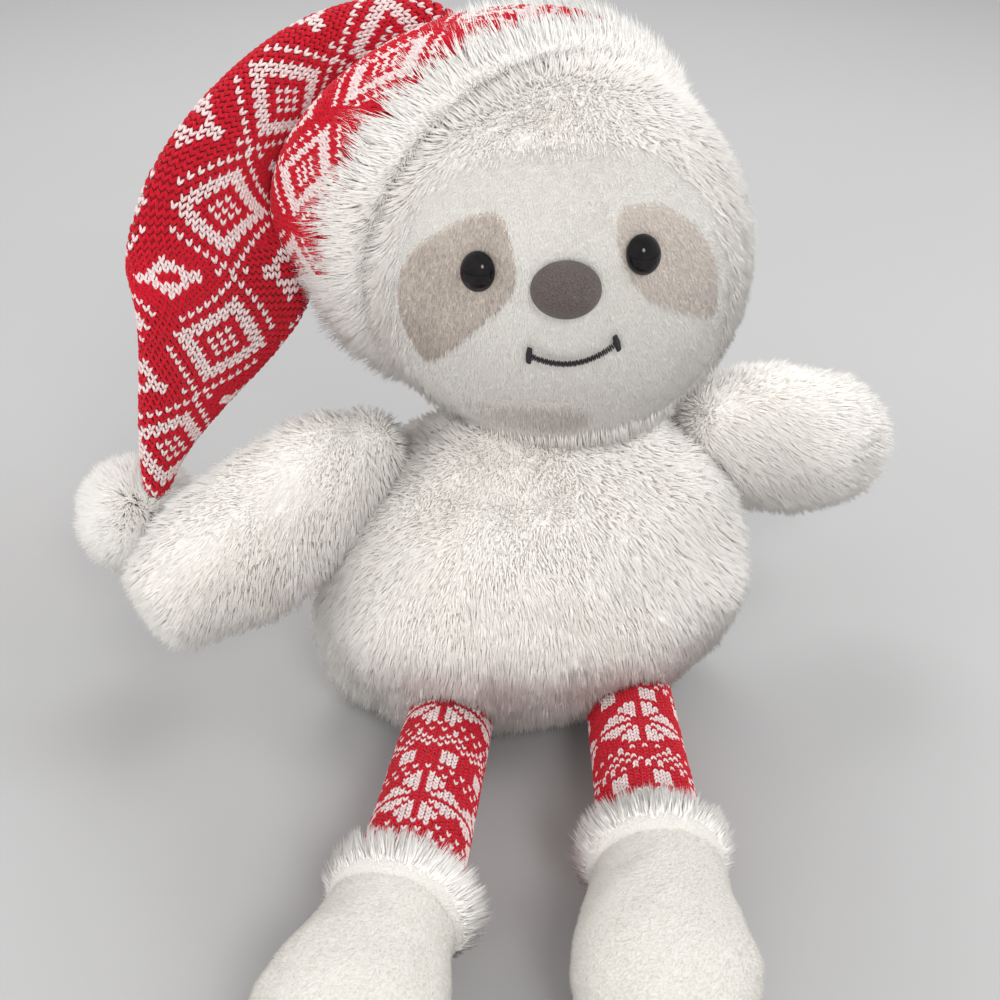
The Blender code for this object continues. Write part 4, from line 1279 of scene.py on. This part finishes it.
facePanel = faceSkin("facePanel", ("face", "left", "right", "chin"), 6, depths["facePanel"])
dress(facePanel, "head", finishes["shortBacking"], "short_white_pile", "face_panel")
faceDown = headTurn @ Vector((0, 0, -1))
facePileFacts = {
    "density": 2300000.0,
    "length": 0.0030,
    "radius": 0.00032,
    "mess": 0.3,
    "clump": 0.12,
    "clumpSize": 0.004,
    "droop": 0.1,
    "swirlSize": 0.03,
    "comb": 0.5,
    "seed": 3,
}
faceRoots = faceSkin("facePileRoots", ("face", "chin"), 7, depths["facePile"])
brushSkin(faceRoots, grow=facePile, comb=lambda p, n: alongSurface(faceDown, n) * facePileFacts["comb"])
growPile("facePile", faceRoots, "head", "shortWhitePile", "short_white_pile", facePileFacts)
bpy.data.objects.remove(faceRoots)

# hangs from the lower edge of the face; its limits are in face units
fringeFacts = {
    "from": 0.72,
    "full": 0.86,
    "lowest": 0.93,
    "fullWidth": 0.50,
    "width": 0.70,
    "density": 1300000.0,
    "length": 0.0095,
    "radius": 0.00036,
    "mess": 0.35,
    "clump": 0.4,
    "clumpSize": 0.004,
    "droop": 0.1,
    "comb": 0.9,
    "forward": Vector((0, -0.3, 0)),
    "seed": 4,
}


def fringeShare(place, normal):
    spot = inHead(place)
    reach = ramped(-spot.z, fringeFacts["from"], fringeFacts["full"])
    reach *= ramped(-abs(spot.x), -fringeFacts["width"], -fringeFacts["fullWidth"])
    return (spot.z > -fringeFacts["lowest"] and spot.y < 0) * reach


fringeRoots = faceSkin("chinFringeRoots", ("face", "cover"), 6, depths["facePanel"])
brushSkin(
    fringeRoots,
    grow=fringeShare,
    comb=lambda p, n: alongSurface(faceDown, n) * fringeFacts["comb"] + fringeFacts["forward"],
)
growPile("chinFringe", fringeRoots, "head", "whitePile", "white_pile", fringeFacts)
bpy.data.objects.remove(fringeRoots)

patchPileFacts = {
    "density": 2600000.0,
    "length": 0.0038,
    "radius": 0.00026,
    "mess": 0.4,
    "clump": 0.3,
    "clumpSize": 0.0022,
    "droop": 0.1,
    "comb": 0.9,
    "seed": 5,
}
# name, CAD node, pile, underfur, and the rule for where pile grows
patches = {
    "left": ("eyePatch_left", "eye_patch_left", "paleTaupePile", "taupeBacking", clearOfTrim),
    "right": ("eyePatch_right", "eye_patch_right", "taupePile", "taupeBacking", clearOfTrim),
    # the chin patch's pile follows its outline and its painted shade
    "chin": ("chinPatch", "chin_patch", "chinPile", "chinBacking", chinPatchAndPaintedShade),
}
for side, (name, node, pileFinish, backing, shade) in patches.items():
    patch = faceSkin(name, (side,), 7, depths["patch"])
    brushSkin(
        patch,
        grow=lambda p, n: shade(p),
        comb=lambda p, n: alongSurface(faceDown, n) * patchPileFacts["comb"],
    )
    growPile(f"{name}Pile", patch, "head", pileFinish, "taupe_pile", patchPileFacts)
    dress(patch, "head", finishes[backing], "taupe_pile", node)
print("face panel and patches made")

# long pile of torso, head and arms; none grows this deep inside another skin
hidden = 0.002
longPileFacts = {"radius": 0.00038, "swirlSize": 0.022, "droop": 0.2, "spread": 0.25, "length": 0.0085}
bodyPileFacts = {
    **longPileFacts,
    "clump": 0.38,
    "clumpSize": 0.0042,
    "mess": 0.46,
    "comb": 0.65,
    "lowLong": 0.3,  # share by which strands are longer low down
    "seed": 11,
}
bodyForest = others("body")
brushSkin(
    bodySkin,
    grow=lambda p, n: not (p.z < 0.006 and n.z < -0.6) and not deepIn(p, bodyForest, hidden),
    comb=lambda p, n: alongSurface(Vector((0, -0.2, -1)), n) * bodyPileFacts["comb"],
    long=lambda p, n: 1.0 + bodyPileFacts["lowLong"] * ramped(-p.z, -0.045, -0.02),
)
for label, half, density in (("Front", -1, 1250000.0), ("Back", 1, 1080000.0)):
    facts = {**bodyPileFacts, "density": density}
    growPile(f"bodyPile{label}", bodySkin, "torso", "whitePile", "white_pile", facts, half)


# the head's pile turns towards the brim and runs into it
headPileFacts = {
    **longPileFacts,
    "density": 1250000.0,
    "length": 0.0078,
    "clump": 0.38,
    "clumpSize": 0.0042,
    "mess": 0.42,
    "droop": 0.15,
    "comb": 0.65,
    "seed": 12,
    "brimComb": 0.35,  # how much more it is combed, and longer, at the brim
    "brimLong": 0.7,
    "underBrim": 10,  # how far past the brim's middle the pile still grows, in millimetres
}


def nearBrim(place):
    return ramped(pastBrim(place), -0.028, -0.012)


def headComb(place, normal):
    near = nearBrim(place)
    combed = headPileFacts["comb"] + headPileFacts["brimComb"] * near
    return alongSurface(Vector((0, -0.3, -1)).lerp(hatAxis, near), normal) * combed


headForest = others("head", "brim")
brushSkin(
    headSkin,
    grow=lambda p, n: pastBrim(p) < headPileFacts["underBrim"] * mm
    and region(p) == "cover"
    and not deepIn(p, headForest, hidden),
    comb=headComb,
    long=lambda p, n: 1 + headPileFacts["brimLong"] * nearBrim(p),
)
growPile("headPile", headSkin, "head", "whitePile", "white_pile", headPileFacts)

armPileFacts = {
    **longPileFacts,
    "density": 1250000.0,
    "clump": 0.42,
    "clumpSize": 0.0045,
    "mess": 0.5,
    "spread": 0.3,
    "comb": 0.6,
}
for k, side in enumerate(arms):
    along = Vector(arms[side]["direction"]).normalized()
    armForest = others(f"arm{side}")
    brushSkin(
        armSkins[side],
        grow=lambda p, n: not deepIn(p, armForest, hidden),
        comb=lambda p, n: alongSurface(along, n) * armPileFacts["comb"],
    )
    facts = {**armPileFacts, "seed": 20 + k}
    growPile(f"armPile_{side}", armSkins[side], f"arm_{side}", "whitePile", "white_pile", facts)

# fluff of brim, pompom and cuffs
brimPileFacts = {
    "density": 1450000.0,
    "length": 0.0155,
    "radius": 0.00042,
    "clump": 0.4,
    "mess": 0.7,
    "droop": 0.15,
    "spread": 0.45,
    "seed": 31,
    "faceSideShort": 0.42,  # share by which strands are shorter towards the face
    "topLong": 0.35,  # shares by which they are longer, high on the brim and low down
    "lowLong": 0.15,
}


# away from the middle of the brim, square to its axis
def fromRing(place):
    away = place - brimCentre
    return (away - hatAxis * away.dot(hatAxis)).normalized()


def faceSide(normal):
    return ramped(-normal.dot(hatAxis), -0.1, 0.8)


def brimComb(place, normal):
    back = 0.45 + 0.8 * ramped(place.x, -0.01, 0.02)
    return alongSurface(fromRing(place) * (0.5 + 0.8 * faceSide(normal)) + hatAxis * back, normal)


def brimLong(place, normal):
    top = 1.0 + brimPileFacts["topLong"] * ramped(place.x, -0.005, 0.02)
    low = brimPileFacts["lowLong"] * ramped(-place.x, 0.03, 0.06)
    return (top + low) * (1 - brimPileFacts["faceSideShort"] * faceSide(normal))


brushSkin(brimSkin, grow=lambda p, n: not deepIn(p, [forest["head"]], 0.001), comb=brimComb, long=brimLong)
growPile("brimPile", brimSkin, "head", "fluffPile", "white_pile", brimPileFacts)

pompomPileFacts = {
    "density": 7000000.0,
    "length": 0.0135,
    "radius": 0.00042,
    "clump": 0.25,
    "mess": 1.1,
    "droop": 0.05,
    "spread": 0.35,
    "lift": 1.0,
    "seed": 33,
}
brushSkin(pompomSkin)
growPile("pompomPile", pompomSkin, "pompom", "fluffPile", "white_pile", pompomPileFacts)

cuffPileFacts = {
    "density": 3400000.0,
    "length": 0.0130,
    "radius": 0.00038,
    "clump": 0.45,
    "clumpSize": 0.0045,
    "droop": 0.12,
    "spread": 0.45,
    "comb": 0.75,
    "thinned": 0.8,  # shares by which it is thinner and shorter where the cuff meets the foot
    "shortened": 0.8,
}
footPileFacts = {
    "density": 1050000.0,
    "length": 0.0026,
    "radius": 0.00034,
    "mess": 0.12,
    "clump": 0.05,
    "droop": 0.1,
    "spread": 0.1,
    "comb": 0.6,
}
for k, side in enumerate(legs):
    way = toeWay(side)
    legForest = [forest[f"leg{side}"]]

    def cuffShare(place, normal):
        share = 1 - cuffPileFacts["thinned"] * ramped(normal.dot(way), 0.3, 0.5)
        return (not deepIn(place, legForest, 0.0)) * share

    def footShare(place, normal):
        onFloor = place.z < 0.004 and normal.z < -0.6
        onSeam = abs(fromSeam(side, place)) < footFacts["seamHalfWidth"] * mm and normal.z > -0.3
        return (not onFloor and not deepIn(place, legForest, 0.0)) * (footFacts["seamPile"] if onSeam else 1.0)

    brushSkin(
        cuffSkins[side],
        grow=cuffShare,
        comb=lambda p, n: -way * cuffPileFacts["comb"],
        long=lambda p, n: 1 - cuffPileFacts["shortened"] * ramped(n.dot(way), -0.1, 0.7),
    )
    facts = {**cuffPileFacts, "seed": 35 + k}
    growPile(f"cuffPile_{side}", cuffSkins[side], f"foot_{side}", "fluffPile", "white_pile", facts)
    brushSkin(
        footSkins[side],
        grow=footShare,
        comb=lambda p, n: alongSurface(way, n) * footPileFacts["comb"],
    )
    facts = {**footPileFacts, "seed": 40 + k}
    growPile(f"footPile_{side}", footSkins[side], f"foot_{side}", "footPile", "short_white_pile", facts)
print("pile grown")


# eyes and nose are turned caps, each moulded with its post; rims lie this many millimetres below the
# dome, and the front one has a share of its width
capFacts = {"domeSteps": 14, "sides": 48, "backRim": 0.6, "frontRim": 0.5, "rimWidth": 0.9}


def turnedCap(name, place, facts):
    halfWidth, halfHeight, depth, postRadius, postLength = [size * mm for size in facts["size"]]
    spot = onFace(*place, facts["sunk"])[0]
    normal = onFace(*place, bare["sunk"])[1]
    outline = [(0, -postLength), (postRadius / halfWidth, -postLength)]
    outline.append((postRadius / halfWidth, -capFacts["backRim"] * mm))
    outline.append((capFacts["rimWidth"], -capFacts["frontRim"] * mm))
    steps = capFacts["domeSteps"]
    turns = [math.pi / 2 * k / steps for k in range(steps + 1)]
    outline += [(math.cos(a), math.sin(a) * depth) for a in turns]
    cap = bmesh.new()
    points = [cap.verts.new((x, 0, z)) for x, z in outline]
    edges = [cap.edges.new(pair) for pair in zip(points, points[1:])]
    spinAround(cap, points + edges, capFacts["sides"])
    side = upward.cross(normal).normalized()
    turn = Matrix((side, normal.cross(side), normal)).transposed().to_4x4()
    size = Matrix.Diagonal((halfWidth, halfHeight, 1, 1))
    bmesh.ops.transform(cap, matrix=Matrix.Translation(spot) @ turn @ size, verts=cap.verts)
    bmesh.ops.recalc_face_normals(cap, faces=cap.faces)
    return settle(name, cap)


def glossFinish(name):
    made, tree, shader = newMaterial(name, 0.06)
    smear = ramp(tree, objectNoise(tree, 260.0), 0.3, 0.8)
    tone = blendColours(tree, smear, (0.004, 0.004, 0.005), (0.012, 0.010, 0.010))
    feed(tree, shader.inputs["Base Color"], tone)
    feed(tree, shader.inputs["Roughness"], maths(tree, "MULTIPLY_ADD", smear, 0.05, 0.04))
    shader.inputs["Specular IOR Level"].default_value = 0.22
    return made


def flockFinish(name):
    made, tree, shader = newMaterial(name, 0.9, sheen=0.12)
    speckle = ramp(tree, objectNoise(tree, 2300.0, 5.0), 0.35, 0.68)
    broad = maths(tree, "MULTIPLY", ramp(tree, objectNoise(tree, 130.0), 0.3, 0.7), 0.35)
    flock = blendColours(tree, speckle, (0.036, 0.028, 0.027), (0.15, 0.12, 0.113))
    feed(tree, shader.inputs["Base Color"], blendColours(tree, broad, flock, (0.12, 0.098, 0.09)))
    bumpFrom(tree, shader, objectNoise(tree, 2300.0, 5.0), 0.0005)
    return made


gloss = glossFinish("blackPlastic")
for side in ("right", "left"):
    dress(turnedCap(f"eyeDome_{side}", eyeFacts[side], eyeFacts), "head", gloss, "black_plastic", f"eye_{side}")
noseCap = turnedCap("noseCap", noseFacts["place"], noseFacts)
dress(noseCap, "head", flockFinish("brownFlock"), "brown_flock", "nose")

# mouth in black satin stitch: an arc with a tick across each end
thread = mottledFinish(
    "blackThread",
    roughness=0.5,
    low=(0.003, 0.003, 0.005),
    high=(0.016, 0.014, 0.02),
    grain=1500.0,
    bump=0.0001,
    bumpGrain=3500.0,
    sheen=0.05,
)
satin = bmesh.new()
bmesh.ops.create_icosphere(satin, subdivisions=2, radius=0.5)
satinSize = Matrix.Diagonal((*[size * mm for size in mouthFacts["stitch"]], 1))
bmesh.ops.transform(satin, matrix=satinSize, verts=satin.verts)
satinStitch = looseShape("satinStitch", satin)
mouthSites = []
count = mouthFacts["stitches"]
for k in range(count + 1):
    share = k / count * 2 - 1
    place, out = mouthPoint(share)
    ahead = (mouthPoint(min(share + 0.02, 1.02))[0] - mouthPoint(share - 0.02)[0]).normalized()
    rise = out.cross(ahead).normalized() + ahead * (0.22 if k % 2 else 0.12)
    mouthSites.append((place, out, rise, (1.0, 1.0 + 0.1 * (k % 3 - 1), 0.8 + 0.2 * (k % 2)), 0.0))
for end in (-1, 1):
    centre, out = mouthPoint(end)
    ahead = (centre - mouthPoint(end * 0.94)[0]).normalized()
    tick = out.cross(ahead).normalized()
    tick = (tick * (1 if tick.z > 0 else -1) + ahead * 0.35).normalized()
    for k in range(-mouthFacts["tickStitches"], mouthFacts["tickStitches"] + 1):
        place = centre + tick * (k * mouthFacts["tickStep"] * mm) + ahead * 0.3 * mm
        mouthSites.append((place, out, ahead * (1 if k % 2 else 0.9), (1.0, 1.0 - 0.04 * abs(k), 1.0), 0.0))
sew("mouthSatin", mouthSites, satinStitch, "head", thread, "black_thread", "mouth_stitch")

# moulded washers and the pellet bag keep their solids
washerPlastic = mottledFinish(
    "washerPlastic", roughness=0.45, low=(0.78, 0.78, 0.76), high=(0.88, 0.88, 0.86), grain=300.0
)
bagCloth = mottledFinish(
    "bagCloth", roughness=0.9, low=(0.55, 0.52, 0.46), high=(0.70, 0.67, 0.60), grain=900.0, bump=0.0004
)
keptFinishes = {
    "eye_right_washer": washerPlastic,
    "eye_left_washer": washerPlastic,
    "nose_washer": washerPlastic,
    "pellet_bag": bagCloth,
}
for node, material in keptFinishes.items():
    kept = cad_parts[node].data.materials
    kept.clear()
    kept.append(material)

# how tightly each padded piece is filled; the loop below does nothing with these values
for skins, fill in ((armSkins, 0.7), (footSkins, 0.8), (legCloths, 0.8)):
    for side in ("right", "left"):
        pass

# floor and light
floorTone = mottledFinish(
    "paleFloor", roughness=0.7, low=(0.40, 0.40, 0.402), high=(0.43, 0.43, 0.432), grain=3.0
)
ground = bmesh.new()
bmesh.ops.create_grid(ground, x_segments=2, y_segments=2, size=6.0)
floor = settle("floor", ground)
floor.data.materials.append(floorTone)

# each lamp: place, height it looks at, size in metres, watts and colour
lamps = {
    "keyLamp": ((0.15, -1.30, 1.15), 0.1, 0.45, 8.0, (1.0, 0.985, 0.96)),
    "lowLamp": ((-0.5, -1.5, 0.45), 0.1, 0.9, 7.5, (1.0, 0.985, 0.97)),
    "fillLamp": ((0.9, -0.35, 1.2), 0.1, 0.7, 6.0, (0.97, 0.98, 1.0)),
    "backLamp": ((0.0, 1.1, 1.1), 0.15, 0.8, 9.0, (1.0, 1.0, 1.0)),
    "rightLamp": ((1.2, 0.1, 0.6), 0.15, 0.8, 5.0, (1.0, 0.99, 0.98)),
    "leftLamp": ((-1.2, -0.2, 0.5), 0.12, 0.8, 6.0, (1.0, 0.99, 0.98)),
}
worldFacts = {"colour": (0.84, 0.835, 0.83, 1.0), "strength": 0.80}
for name, (place, aim, size, power, tone) in lamps.items():
    lamp = bpy.data.lights.new(name, "AREA")
    lamp.shape = "DISK"
    lamp.size = size
    lamp.energy = power
    lamp.color = tone
    stand = standAt(name, lamp, place, Vector((0, 0, aim)) - Vector(place))
    stand.visible_glossy = name == "keyLamp"  # the eyes show a single glint
world = bpy.data.worlds.new("studio")
world.use_nodes = True
world.node_tree.nodes["Background"].inputs["Color"].default_value = worldFacts["colour"]
world.node_tree.nodes["Background"].inputs["Strength"].default_value = worldFacts["strength"]
bpy.context.scene.world = world
